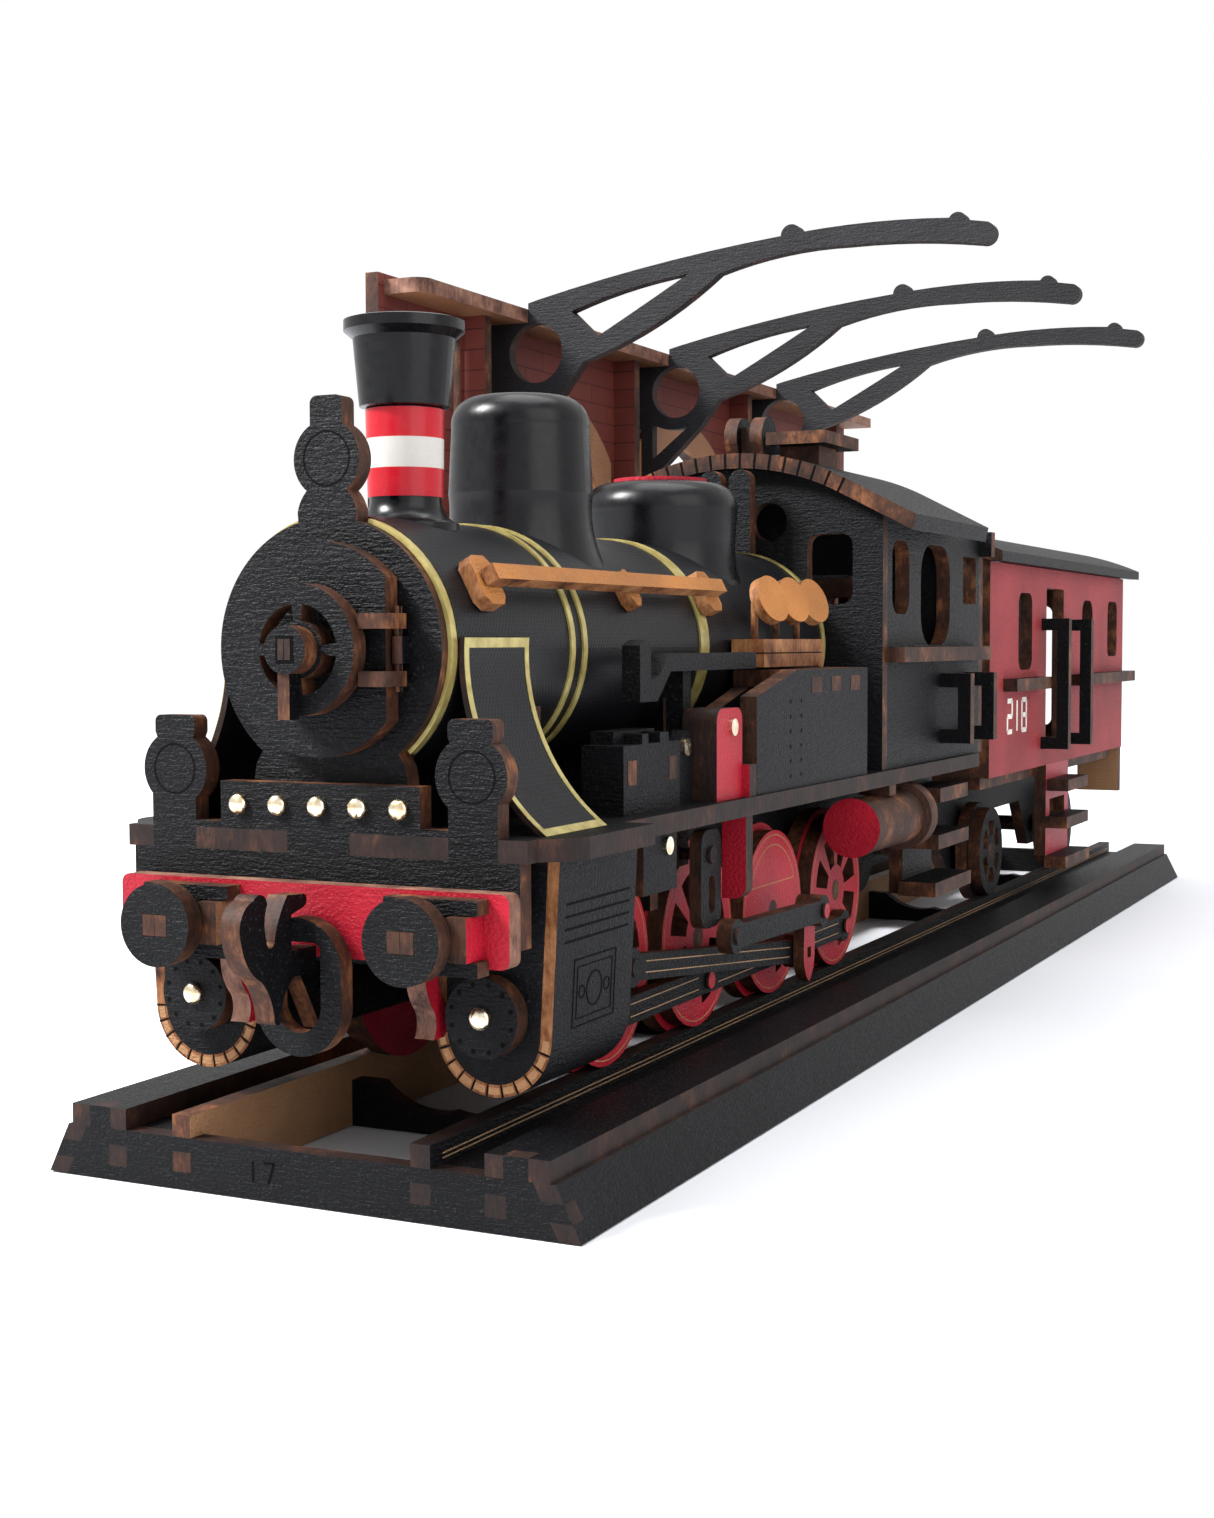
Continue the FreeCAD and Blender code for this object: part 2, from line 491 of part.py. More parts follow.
def build_handrails():
    """Handrails held on the boiler by three leaning plates on each side."""
    cz, lean, ply = size.boiler_z, 27.0, size.ply
    pieces = []
    for side, sign in (("right", 1), ("left", -1)):
        turn = FreeCAD.Rotation(FreeCAD.Vector(0, 1, 0), -sign * lean)
        for index, y in enumerate((19.0, 62.5, 91.5), start=1):
            height = 3.5 if index != 2 else 3.0
            width = 2.7 if index != 2 else 1.7
            start = size.boiler_radius + (0.35 if index == 3 else 0.05)
            offset = turn.multVec(FreeCAD.Vector(start if sign > 0 else -start - ply + 0.8, 0, 0))
            place = FreeCAD.Placement(FreeCAD.Vector(offset.x, y, cz + offset.z), turn)
            plate = [(-width, -height + 1.2), (-width + 1.2, -height), (width - 1.2, -height), (width, -height + 1.2),
                     (width, height - 1.2), (width - 1.2, height), (-width + 1.2, height), (-width, height - 1.2)]
            pieces.append(board("rail_plate_%s_%d" % (side, index), "YZ", 0, [plate], 2.0, place))
        start = size.boiler_radius + 2.4
        offset = turn.multVec(FreeCAD.Vector(start if sign > 0 else -start - 2.0, 0, 0))
        place = FreeCAD.Placement(FreeCAD.Vector(offset.x, 0, cz + offset.z), turn)
        pieces.append(board("rail_bar_" + side, "YZ", 0, [rectangle(17.2, -1.1, 93.4, 1.1)], 2.0, place))
    node("handrails", *pieces)


def build_gauges():
    """Three discs on stalks over a double shelf beside the boiler, on each side."""
    discs, shelves = [], []
    for side, sign in (("right", 1), ("left", -1)):
        lean = FreeCAD.Rotation(FreeCAD.Vector(0, 1, 0), -sign * 20)
        turn = FreeCAD.Rotation(FreeCAD.Vector(0, 0, 1), -sign * 14).multiply(lean)
        for index, y in enumerate((105.0, 115.0, 125.0), start=1):
            offset = turn.multVec(FreeCAD.Vector(-0.9, 0, 0))
            place = FreeCAD.Placement(FreeCAD.Vector(sign * 22.6 + offset.x, y + offset.y, 76.6), turn)
            discs.append(board("gauge_%s_%d" % (side, index), "YZ", 0, [circle(0, 0, 4.0)], 1.8, place))
        stalks = [circle(sign * 20.0, y, 0.6) for y in (105.0, 115.0, 125.0)]
        discs.append(board("gauge_stalks_" + side, "XY", 70.5, stalks, 6.0))
        low, high = sorted((sign * 17.9, sign * 23.6))
        shelves.append(board("shelf_low_" + side, "XY", 65.9, [rectangle(low, 100.0, high, 129.0)], 2.2))
        shelves.append(board("shelf_high_" + side, "XY", 68.3, [rectangle(low, 100.0, high, 129.0)], 2.2))
    node("gauges", *discs, *shelves)


# ---------------------------------------------------------------- running board, cylinders, tanks

def build_running_gear():
    ply, z, front = size.ply, size.board_z, size.plate_face
    nose, waist = size.nose_half, size.waist_half
    behind = front + ply
    right = [(0, behind), (4.7, behind), (4.7, front), (18.9, front), (18.9, behind), (25.8, behind), (25.8, front),
             (29.8, front), (29.8, 8.0), arc((32.2, 10.2), (nose, 14.0)), (nose, 33.4), (waist, 33.4), (waist, 212.0),
             (0, 212.0)]
    node("running_board", board("running_sheet", "XY", "board_z", [symmetric(right)]))

    # side frames with open axle slots, tied by cross boards
    first, pitch = size.first_axle, size.axle_pitch
    bores = [circle(first + pitch * index, size.axle_z, "axle_radius + running_fit") for index in range(4)]
    frame = [[(14.0, 28.0), (20.0, 18.0), (170.0, 18.0), (180.0, 28.0), (212.0, 28.0), (212.0, z), (14.0, z)]] + bores
    ties = [board("frame_tie_%d" % index, "XZ", y, [rectangle(-9.6, 28.0, 9.6, z)])
            for index, y in enumerate((16.0, 64.9, 97.9, 130.9, 205.0), start=1)]
    spacers = [board("frame_wing_%d" % index, "XZ", y, both(rectangle(12.4, 30.0, 19.0, z)))
               for index, y in enumerate((65.0,), start=1)]
    node("loco_frames", *pair("frame", 9.6, frame), *ties, *spacers)

    cx, cz, radius, wrap = size.cylinder_x, size.cylinder_z, size.cylinder_radius, size.wrap
    inside = radius - wrap
    block = [(cx - inside, cz), arc((cx, cz - inside), (cx + inside, cz)), (cx + inside + 1.2, z), (cx - inside, z)]
    window = rounded(cx - 3.4, 20.2, cx + 3.4, 27.8, 1.2)
    plates = [board("cylinder_fronts", "XZ", "chest_face", both(block)),
              board("cylinder_backs", "XZ", 31.0, both(block, window))]
    skin = [(cx - radius, z), (cx - radius, cz), arc((cx, cz - radius), (cx + radius, cz)), (cx + radius + 1.2, z),
            (cx + inside + 1.2, z), (cx + inside, cz), arc((cx, cz - inside), (cx - inside, cz)), (cx - inside, z)]
    node("cylinder_wraps", board("cylinder_skins", "XZ", "chest_face", both(skin), 22.7))
    node("cylinder_plates", *plates, board("cover_discs", "XZ", "smokebox_face", both(circle(21.7, 23.8, 5.1))))

    build_side_boxes()
    build_tanks()


def build_side_boxes():
    z = size.board_z + size.ply
    top = z + 9.6
    side = [(40.8, z), (60.0, z), (60.0, top), (56.0, top), (56.0, top + 1.4), (53.0, top + 1.4), (53.0, top),
            (49.0, top), (49.0, top + 1.4), (47.0, top + 1.4), (47.0, top), (40.8, top)]
    ends = both(rectangle(19.6, z, 23.2, top))
    lever = [(60.2, z), (67.4, z), (67.4, z + 6.0), arc((68.0, z + 8.8), (65.2, z + 10.8)),
             arc((62.4, z + 8.6), (60.2, z + 7.0))]
    node("pump_boxes", *pair("pump_side", 23.2, [side]), board("pump_fronts", "XZ", 40.8, ends),
         board("pump_backs", "XZ", 57.2, ends), board("pump_tops", "XY", "board_z + 2 * ply + 6.8",
                                                      both(rectangle(19.6, 43.6, 23.2, 57.2)), 1.8),
         *pair("pump_lever", 22.6, [lever], "rod_ply"))

    arch = [(69.2, z), (79.4, z), (79.4, 58.0), arc((78.8, 59.5), (77.2, 60.1)), (71.4, 60.1),
            arc((69.8, 59.5), (69.2, 58.0))]
    hanger = both([(24.8, 30.6), (26.8, 30.6), arc((28.2, 31.2), (28.8, 32.6)), (28.8, size.board_z),
                   (24.8, size.board_z)])
    tab = both(rectangle(24.6, z, 29.2, z + 5.0))
    chest = rectangle(45.5, 34.8, 57.0, size.board_z)
    node("motion_brackets", *pair("motion_arch", 22.4, [arch], "2 * ply"),
         board("motion_hangers", "XZ", 79.0, hanger), board("motion_tabs", "XZ", 79.5, tab),
         *pair("valve_plate", "link_x + 0.3", [chest], "rod_ply"))


def build_tanks():
    z, ply = size.board_z + size.ply, size.ply
    side = [(83.0, z), (137.4, z), (137.4, 65.5), (101.0, 65.5), (86.4, 61.8), (86.4, 60.0), (83.0, 60.0)]
    side[4:7] = [(83.0, 61.6)]
    inner = [(86.5, z), (137.4, z), (137.4, 62.6), (86.5, 61.0)]
    inner[2:4] = [(137.4, 62.6), (101.0, 62.6), (86.5, 59.0)]
    walls = both(rectangle(20.6, z, 26.2, 58.0))
    node("side_tanks", *pair("tank_side", 26.2, [side]), *pair("tank_inner", 17.8, [inner]),
         board("tank_fronts", "XZ", 86.5, walls), board("tank_backs", "XZ", 134.6, both(rectangle(20.6, z, 26.2, 62.6))),
         board("tank_tops", "XY", 62.7, both(rectangle(17.8, 101.0, 26.2, 137.4))))

    cx, cz = 26.2, 36.5
    rings = [board("air_tank_drums", "XZ", 139.8, both(circle(cx, cz, 5.2)), 25.4),
             board("air_tank_heads", "XZ", 137.0, both(circle(cx, cz, 5.4))),
             board("air_tank_hoops", "XZ", 165.4, both(circle(cx, cz, 6.6)), 4.2),
             board("air_tank_hangers", "XZ", 150.0, both([(cx - 3, size.board_z), (cx - 3, cz + 5.0), (cx + 3, cz + 5.0),
                                                          (cx + 3, size.board_z)]), 4.0)]
    node("air_tanks", *rings)


# ---------------------------------------------------------------- cab

def build_cab():
    ply, half, z = size.ply, size.cab_half, size.board_z + size.ply
    top, centre, bend = size.roof_radius, size.roof_centre_z, 22.0
    slope = bend / math.sqrt(top ** 2 - bend ** 2)

    def roof_line(x, radius):
        """Height of the roof at x: round in the middle, straight beyond the bend."""
        turn = bend * radius / top
        return centre + math.sqrt(radius ** 2 - min(abs(x), turn) ** 2) - slope * max(0, abs(x) - turn)

    def roof_outline(reach, radius):
        """The roof's upper or lower line from right to left."""
        turn = bend * radius / top
        return [(reach, roof_line(reach, radius)), (turn, roof_line(turn, radius)),
                arc((0, centre + radius), (-turn, roof_line(turn, radius))), (-reach, roof_line(reach, radius))]

    under = top - ply - 0.05

    porthole = both(circle(6.1, 92.5, 3.6))
    window = both(rounded(13.7, 77.0, 22.6, 90.0, 2.2))
    front = [(-half, z), (half, z)] + roof_outline(half, under)
    screen = [(-half + ply, z), (half - ply, z)] + roof_outline(half - ply, under)
    doorway = rounded(-15.0, 50.0, 15.0, 76.0, 3.0)
    rear = [(-half, z), (half, z), (half, 88.0), (31.0, 88.0), (31.0, 93.2), (-31.0, 93.2), (-31.0, 88.0), (-half, 88.0)]
    chimes = both([(0.8, 86.9), (5.0, 86.4), (5.0, 99.6), arc((2.9, 101.9), (0.8, 99.6))])
    node("cab_ends", board("cab_front_wall", "XZ", "cab_y", [front] + porthole + window + [doorway]),
         board("cab_rear_wall", "XZ", "cab_end", [rear, rounded(-20.0, 50.0, 20.0, 84.0, 3.0)]),
         board("cab_screen", "XZ", 193.0, [screen, rounded(-9.0, 50.0, 9.0, 84.0, 3.0)]),
         board("whistle_boards", "XZ", 141.0, chimes))

    side = [(size.cab_y + ply, z), (size.cab_end, z), (size.cab_end, 93.2), (size.cab_y + ply, 93.2)]
    panes = [rounded(153.6, 75.2, 164.4, 89.0, 3.4), rounded(172.0, 69.3, 192.4, 89.0, 6.4),
             rounded(202.2, 77.8, 212.2, 87.6, 0.6)]
    node("cab_sides", *pair("cab_side", "cab_half - ply", [side] + panes))

    reach = 35.6
    lower = roof_outline(reach - 0.6, top - ply)
    roof = roof_outline(reach, top) + [lower[3], (-lower[1][0], lower[1][1]),
                                       arc((0, centre + top - ply), lower[1]), lower[0]]
    node("cab_roof", board("cab_roof_sheet", "XZ", "cab_y - 3.0", [roof], 50.0))

    box = [(3, roof_line(3, top)), (11, roof_line(11, top)), (11, 107.8), (3, 107.8)]
    box[1:2] = [arc((7, roof_line(7, top)), (11, roof_line(11, top)))]
    bell = [(158.6, 105.4), (163.4, 105.4), (164.9, 108.4), arc((163.8, 112.6), (161.0, 113.6)),
            arc((158.2, 112.6), (157.1, 108.4))]
    node("roof_vent", board("vent_box", "XZ", 162.0, [box], 10.0),
         board("vent_lid", "XY", 107.8, [rectangle(2.0, 157.0, 14, 177.0)], 2.4),
         board("bell_right", "YZ", -1.4, [bell], 2.6), board("bell_left", "YZ", -6.6, [bell], 2.6),
         board("bell_core", "YZ", -4.0, [[(u, v + 0.9) for u, v in ((159.4, 104.5), (162.6, 104.5), (162.6, 110.8),
                                                                      (159.4, 110.8))]], 2.6))

    ledge = both(rectangle(half, 150.0, half + 3.6, 212.0))
    grip = [(half, 49.6), (half + 6.2, 49.6), (half + 6.2, 63.6), (half, 63.6), (half, 60.8), (half + 3.6, 60.8),
            (half + 3.6, 52.4), (half, 52.4)]
    rails = [board("cab_ledges", "XY", 66.2, ledge), board("cab_grips_front", "XZ", 186.0, both(grip)),
             board("cab_grips_rear", "XZ", 204.0, both(grip))]

    riser = [(176.0, 20.0), (196.0, 20.0), (196.0, size.board_z), (176.0, size.board_z)]
    steps = [board("cab_step_%d" % index, "XY", height, both(rectangle(23.8, start, 31.4, end)))
             for index, (height, start, end) in enumerate(((38.4, 176.0, 196.0), (29.2, 175.0, 197.0),
                                                           (20.0, 173.0, 199.0)), start=1)]
    node("cab_fittings", *rails, *pair("step_riser", 21.0, [riser]), *steps)


# ---------------------------------------------------------------- driving wheels and rods

def spoked(y, z, radius, weighted):
    """Wheel disc cut-outs: windows between the spokes, fewer behind a balance weight."""
    windows = []
    for index in range(8):
        middle = 22.5 + 45 * index
        if weighted and 20 < middle < 160:
            continue
        windows.append(ring_sector(y, z, radius * 0.34, radius * 0.78, middle - 14, middle + 14))
    return windows


def build_wheels():
    ply, fit = size.ply, size.running_fit
    reach = size.rail_inner + ply
    for index in range(4):
        y, z = size.first_axle + size.axle_pitch * index, size.axle_z
        pin_y, pin_z = y + size.crank_back, z + size.crank_down
        disc = [circle(y, z, "wheel_radius"), circle(y, z, "axle_radius"), circle(pin_y, pin_z, "pin_radius")]
        windows = [hole for hole in spoked(y, z, size.wheel_radius, index == 2) if not near_pin(hole, pin_y, pin_z)]
        discs = pair("wheel_%d" % (index + 1), "rail_inner", disc + windows)
        axle = cross_bar("axle_bar_%d" % (index + 1), "axle_radius", y, z, "-rail_inner - ply", "2 * rail_inner + 2 * ply")
        flanges = pair("flange_%d" % (index + 1), "rail_inner - ply",
                       [circle(y, z, "flange_radius"), circle(y, z, "axle_radius")])
        pieces = discs + [axle] + flanges
        if index != 2:
            pieces += pair("crank_pin_%d" % (index + 1), "rail_inner", [circle(pin_y, pin_z, "pin_radius")], 5.4)
            pieces += pair("crank_nail_%d" % (index + 1), reach + 2.6, [circle(pin_y, pin_z, 1.35)], 0.4)
        else:
            pieces += pair("main_pin", "rail_inner", [circle(pin_y, pin_z, "pin_radius")], "link_x - rail_inner")
            ecc = (y + size.eccentric_back, z + size.eccentric_up)
            crank = [(pin_y + 2.7, pin_z - 0.6), (ecc[0] + 2.6, ecc[1]), arc((ecc[0], ecc[1] + 2.6), (ecc[0] - 2.6, ecc[1])),
                     (pin_y - 2.7, pin_z - 0.6), arc((pin_y - 2.0, pin_z - 3.0), (pin_y, pin_z - 5.0)),
                     arc((pin_y + 2.0, pin_z - 3.0), (pin_y + 2.7, pin_z - 0.6))]
            pieces += pair("return_crank", "link_x", [crank, rectangle(pin_y - 0.9, pin_z - 0.9, pin_y + 0.9, pin_z + 0.9)],
                           1.9)
            pieces += pair("eccentric_pin", "link_x + 1.9", [circle(ecc[0], ecc[1], 0.8)], 2.7)
            pieces += pair("eccentric_nail", "link_x + 4.6", [circle(ecc[0], ecc[1], 1.3)], 0.4)
        node("wheelset_%d" % (index + 1), *pieces)


def near_pin(window, pin_y, pin_z):
    """Whether a spoke window would break into the boss of the crank pin."""
    places = [item[2] if item[0] == "arc" else item for item in window]
    middle_y = sum(place[0] for place in places) / len(places)
    middle_z = sum(place[1] for place in places) / len(places)
    return math.hypot(middle_y - pin_y, middle_z - pin_z) < 3.6


def rod_outline(y0, z0, y1, z1, half, eyes):
    """A straight rod with round ends, and bores at the eyes."""
    length = math.hypot(y1 - y0, z1 - z0)
    dy, dz = (y1 - y0) / length, (z1 - z0) / length

    def at(along, across):
        return (y0 + dy * along - dz * across, z0 + dz * along + dy * across)

    big = half + 0.9
    neck = math.sqrt(big ** 2 - half ** 2)
    bar = [at(neck, -half), at(length - neck, -half), arc(at(length + big, 0), at(length - neck, half)),
           at(neck, half), arc(at(-big, 0), at(neck, -half))]
    return [bar] + eyes


def build_rods():
    y1, y3, z = size.first_axle, size.first_axle + 2 * size.axle_pitch, size.axle_z
    back, down, pitch = size.crank_back, size.crank_down, size.axle_pitch
    eyes = [circle(y1 + pitch * index + back, z + down, "pin_radius + running_fit") for index in range(4)]
    rod = rod_outline(y1 + back, z + down, y1 + 3 * pitch + back, z + down, 2.0, eyes)
    node("coupling_rods", *pair("coupling_rod", "coupling_x", rod, 2.1))

    big = (y3 + back, z + down)
    small = (47.8, 24.4)
    rod = rod_outline(small[0], small[1], big[0], big[1], 1.9, [circle(big[0], big[1], "pin_radius + running_fit")])
    nail = [circle(small[0], small[1], 1.3)]
    node("main_rods", *pair("main_rod", "main_x", rod, "rod_ply"), *pair("main_rod_nail", "main_x + rod_ply", nail, 0.4))

    ecc = (y3 + size.eccentric_back, z + size.eccentric_up)
    front = (75.0, 25.4)
    rod = rod_outline(front[0], front[1], ecc[0], ecc[1], 1.8, [circle(ecc[0], ecc[1], "0.8 + running_fit")])
    nail = [circle(front[0], front[1], 1.3)]
    node("eccentric_rods", *pair("eccentric_rod", "eccentric_x", rod, 2.4),
         *pair("eccentric_rod_nail", "eccentric_x + 2.4", nail, 0.4))

    link = [rounded(67.0, 27.2, 74.8, 42.0, 2.4), circle(70.7, 38.2, "pin_radius + running_fit"),
            rounded(70.0, 29.4, 72.4, 35.0, 1.0)]
    node("expansion_links", *pair("expansion_link", "link_x", link, "rod_ply - 0.1"))
    pivot = circle(70.7, 38.2, "pin_radius")
    node("link_pivots", *pair("link_pivot", 19.0, [pivot], 7.4),
         *pair("link_pivot_head", "link_x + rod_ply", [circle(70.7, 38.2, 1.35)], 0.4),
         *pair("link_bracket", 19.0, [rectangle(68.9, 36.4, 72.5, 43.5), circle(70.7, 38.2, "pin_radius")], 3.0))

    body = rectangle(23.6, 21.5, 33.4, 26.3)
    bar = board("piston_bars", "XZ", 19.6, both(circle(21.9, 23.9, 1.5)), 4.0)
    node("crossheads", *pair("crosshead", 20.6, [body], 2.6), bar)


# ---------------------------------------------------------------- carriage

def build_carriage():
    ply, half = size.ply, size.cab_half
    y0, y1, low, high = size.carriage_y, size.carriage_end, size.carriage_floor, size.carriage_top
    side = rectangle(y0, low, y1, high)
    holes = [rounded(249.6, 63.4, 262.6, 81.2, 3.0), rounded(277.0, 44.0, 295.4, 82.8, 1.0),
             rounded(316.6, 65.6, 329.6, 80.6, 4.0), rounded(348.8, 65.8, 361.4, 80.8, 2.4)]
    sides = pair("carriage_side", "cab_half - ply", [side] + holes)
    end = [(-half, low), (half, low), (half, high), (half - 0.2, high), arc((0, 93.2), (-half + 0.2, high)), (-half, high)]
    door = [rounded(-9.0, 46.0, 9.0, 80.0, 2.0)]
    node("carriage_walls", *sides, board("carriage_front_end", "XZ", "carriage_y - ply", [end] + door),
         board("carriage_rear_end", "XZ", "carriage_end", [end] + door))

    reach = 31.6
    roof = [(-reach, 87.4), (-reach, 89.6), arc((0, 96.4), (reach, 89.6)), (reach, 87.4), (half + 0.4, 87.5),
            arc((0, 93.6), (-half - 0.4, 87.5))]
    node("carriage_roof", board("carriage_roof_sheet", "XZ", "carriage_y - 5.0", [roof], 154.0))

    bores = [circle(size.carriage_axle_1, size.small_axle_z, "axle_radius + running_fit"),
             circle(size.carriage_axle_2, size.small_axle_z, "axle_radius + running_fit")]
    beam = [(230.0, 30.0), (250.0, 15.6), (274.0, 15.6), (284.0, 28.0), (316.0, 28.0), (326.0, 15.6), (350.0, 15.6),
            (366.0, 30.0), (366.0, low - ply), (230.0, low - ply)]
    floor = rectangle(-half + ply, y0, half - ply, y1)
    pad = rectangle(16.0, 27.4, 27.6, low)
    node("carriage_underframe", board("carriage_floor_board", "XY", "carriage_floor - ply", [floor]),
         *pair("bogie_side", 9.6, [beam] + bores), board("bogie_tie_1", "XZ", 290.0, [rectangle(-9.6, 29.0, 9.6, low - ply)]),
         board("bogie_tie_2", "XZ", 234.0, [rectangle(-9.6, 30.0, 9.6, low - ply)]),
         board("tail_blocks", "XZ", "carriage_end + ply", both(pad)),
         *pair("carriage_door", "cab_half - 3 * ply", [rectangle(272.0, low, 300.0, 85.0)]))

    grip = [(half, 44.2), (half + 6.6, 44.2), (half + 6.6, 75.4), (half, 75.4), (half, 72.6), (half + 3.8, 72.6),
            (half + 3.8, 47.0), (half, 47.0)]
    ledges = both(rectangle(half, 236.0, half + 3.2, 269.0), rectangle(half, 300.0, half + 3.2, 372.0))
    rails = [board("carriage_grips_1", "XZ", 272.0, both(grip)), board("carriage_grips_2", "XZ", 297.0, both(grip)),
             board("carriage_ledges", "XY", 58.8, ledges)]

    ladder = [rectangle(278.0, 18.6, 302.0, low), rectangle(282.0, 27.4, 298.0, 31.4), rectangle(282.0, 20.6, 298.0, 23.4)]
    ladder[0] = rectangle(278.0, 17.8, 302.0, low)
    steps = [board("carriage_step_%d" % index, "XY", height, both(rectangle(28.4, start, 33.6, end)))
             for index, (height, start, end) in enumerate(((33.6, 279.0, 301.0), (24.6, 278.0, 302.0),
                                                           (15.0, 277.0, 304.0)), start=1)]
    node("carriage_fittings", *rails, *pair("ladder", 25.6, [ladder[0], ladder[1]]), *steps)

    for index, y in enumerate((size.carriage_axle_1, size.carriage_axle_2), start=1):
        z = size.small_axle_z
        windows = [ring_sector(y, z, 4.0, 7.4, start, start + 40) for start in (10, 70, 130, 190, 250, 310)]
        discs = pair("carriage_disc_%d" % index, "rail_inner",
                     [circle(y, z, "small_wheel_radius"), circle(y, z, "axle_radius")] + windows)
        rims = pair("carriage_flange_%d" % index, "rail_inner - ply",
                    [circle(y, z, "small_wheel_radius + 1.2"), circle(y, z, "axle_radius")])
        axle = cross_bar("carriage_axle_bar_%d" % index, "axle_radius", y, z, "-rail_inner - ply",
                         "2 * rail_inner + 2 * ply")
        node("carriage_wheelset_%d" % index, *discs, *rims, axle)


# ---------------------------------------------------------------- nails

def build_nails():
    """Brass nail heads that don't move: riveted box front, cylinder covers and side fittings."""
    heads = [circle(x, 49.5, 1.3) for x in (-12, -6, 0, 6, 12)]
    fronts = [board("rivet_heads", "XZ", "plate_face - 0.5", heads, 0.5),
              board("cover_heads", "XZ", "smokebox_face - 0.5", both(circle(21.7, 23.8, 1.4)), 0.5)]
    spots = (("arch", 28.0, 75.3, 57.2), ("lever", 24.6, 65.1, 54.6), ("chest", 26.8, 53.6, 41.2))
    sides = []
    for name, x, y, z in spots:
        sides += pair(name + "_head", x, [circle(y, z, 1.3)], 0.5)
    node("brass_nails", *fronts, *sides)


def check_and_export():
    doc.recompute()
    broken = [item.Name for item in doc.Objects if "Invalid" in item.State or "Error" in item.State]
    broken += [item.Label for item in nodes if item.Shape.isNull() or not item.Shape.isValid()]
    if broken:
        raise RuntimeError("these objects failed: " + ", ".join(broken))
    box = nodes[0].Shape.BoundBox
    for item in nodes:
        box.add(item.Shape.BoundBox)
    print("box", [round(value, 3) for value in (box.XMin, box.XMax, box.YMin, box.YMax, box.ZMin, box.ZMax)])
    os.makedirs("parts", exist_ok=True)
    for item in nodes:
        item.Shape.exportStep("parts/%s.step" % item.Label)
    print(len(nodes), "nodes")


build_track()
build_station()
build_front()
build_door()
build_boiler()
build_running_gear()
build_cab()
build_wheels()
build_rods()
build_carriage()
build_nails()
check_and_export()
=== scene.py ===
import math

import bmesh
import bpy
import numpy as np
from mathutils import Matrix, Vector


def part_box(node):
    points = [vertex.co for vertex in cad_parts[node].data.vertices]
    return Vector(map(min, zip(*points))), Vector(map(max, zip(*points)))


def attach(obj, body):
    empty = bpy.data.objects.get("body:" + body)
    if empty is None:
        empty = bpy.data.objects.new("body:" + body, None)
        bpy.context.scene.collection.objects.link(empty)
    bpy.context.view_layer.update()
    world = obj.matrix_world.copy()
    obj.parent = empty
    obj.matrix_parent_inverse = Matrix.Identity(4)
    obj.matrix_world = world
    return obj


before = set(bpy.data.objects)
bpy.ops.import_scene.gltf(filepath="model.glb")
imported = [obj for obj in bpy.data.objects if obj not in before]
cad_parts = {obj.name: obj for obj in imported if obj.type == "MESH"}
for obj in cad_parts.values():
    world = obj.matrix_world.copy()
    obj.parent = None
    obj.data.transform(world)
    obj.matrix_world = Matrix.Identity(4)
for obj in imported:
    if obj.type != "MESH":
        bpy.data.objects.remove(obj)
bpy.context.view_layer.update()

# Looks of the wooden jigsaw train. Drawing millimetres are measured from the middle of the track's
# front bottom edge: x to the open side, y towards the carriage, z up.
MM = 0.001
track_low, track_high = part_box("base_side_panels")
ORIGIN = Vector(((track_low.x + track_high.x) / 2, track_low.y, 0))

# Dimensions shared with the part's source, in drawing millimetres.
PLY = 2.8
FIRST_AXLE = 49.8
AXLE_PITCH = 33.0
AXLE_Z = 23.7
WHEEL_FACE = 19.2
CRANK_PIN_Y = 48.3
CRANK_PIN_Z = 17.3
CYLINDER_X = 21.9
CYLINDER_Z = 21.6
CYLINDER_RADIUS = 8.2
CYLINDER_WRAP = 1.6
CYLINDER_SKIN = 30.1
RUNNING_BOARD_Z = 43.5
SKIN_LEAN = 1.2
TANK_FACE = 29.0
ROOF_RADIUS = 48.0
ROOF_CENTRE_Z = 57.3
GAUGE_YAW = 14
GAUGE_LEAN = 20

# How far engraved lines and board ends stand out from the surface that they lie on.
LINE_DEPTH = 0.03
END_DEPTH = 0.05
PANEL_DEPTH = 0.06
GOLD_DEPTH = 0.09

# A face is a cut edge where it looks away from its board, or along a bent sheet's run.
BOARD_FACE = 0.93
END_FACE = 0.7


def at(x, y, z):
    """A point of the drawing in the frame's metres."""
    return ORIGIN + Vector((x, y, z)) * MM


# ---------------------------------------------------------------- material helpers

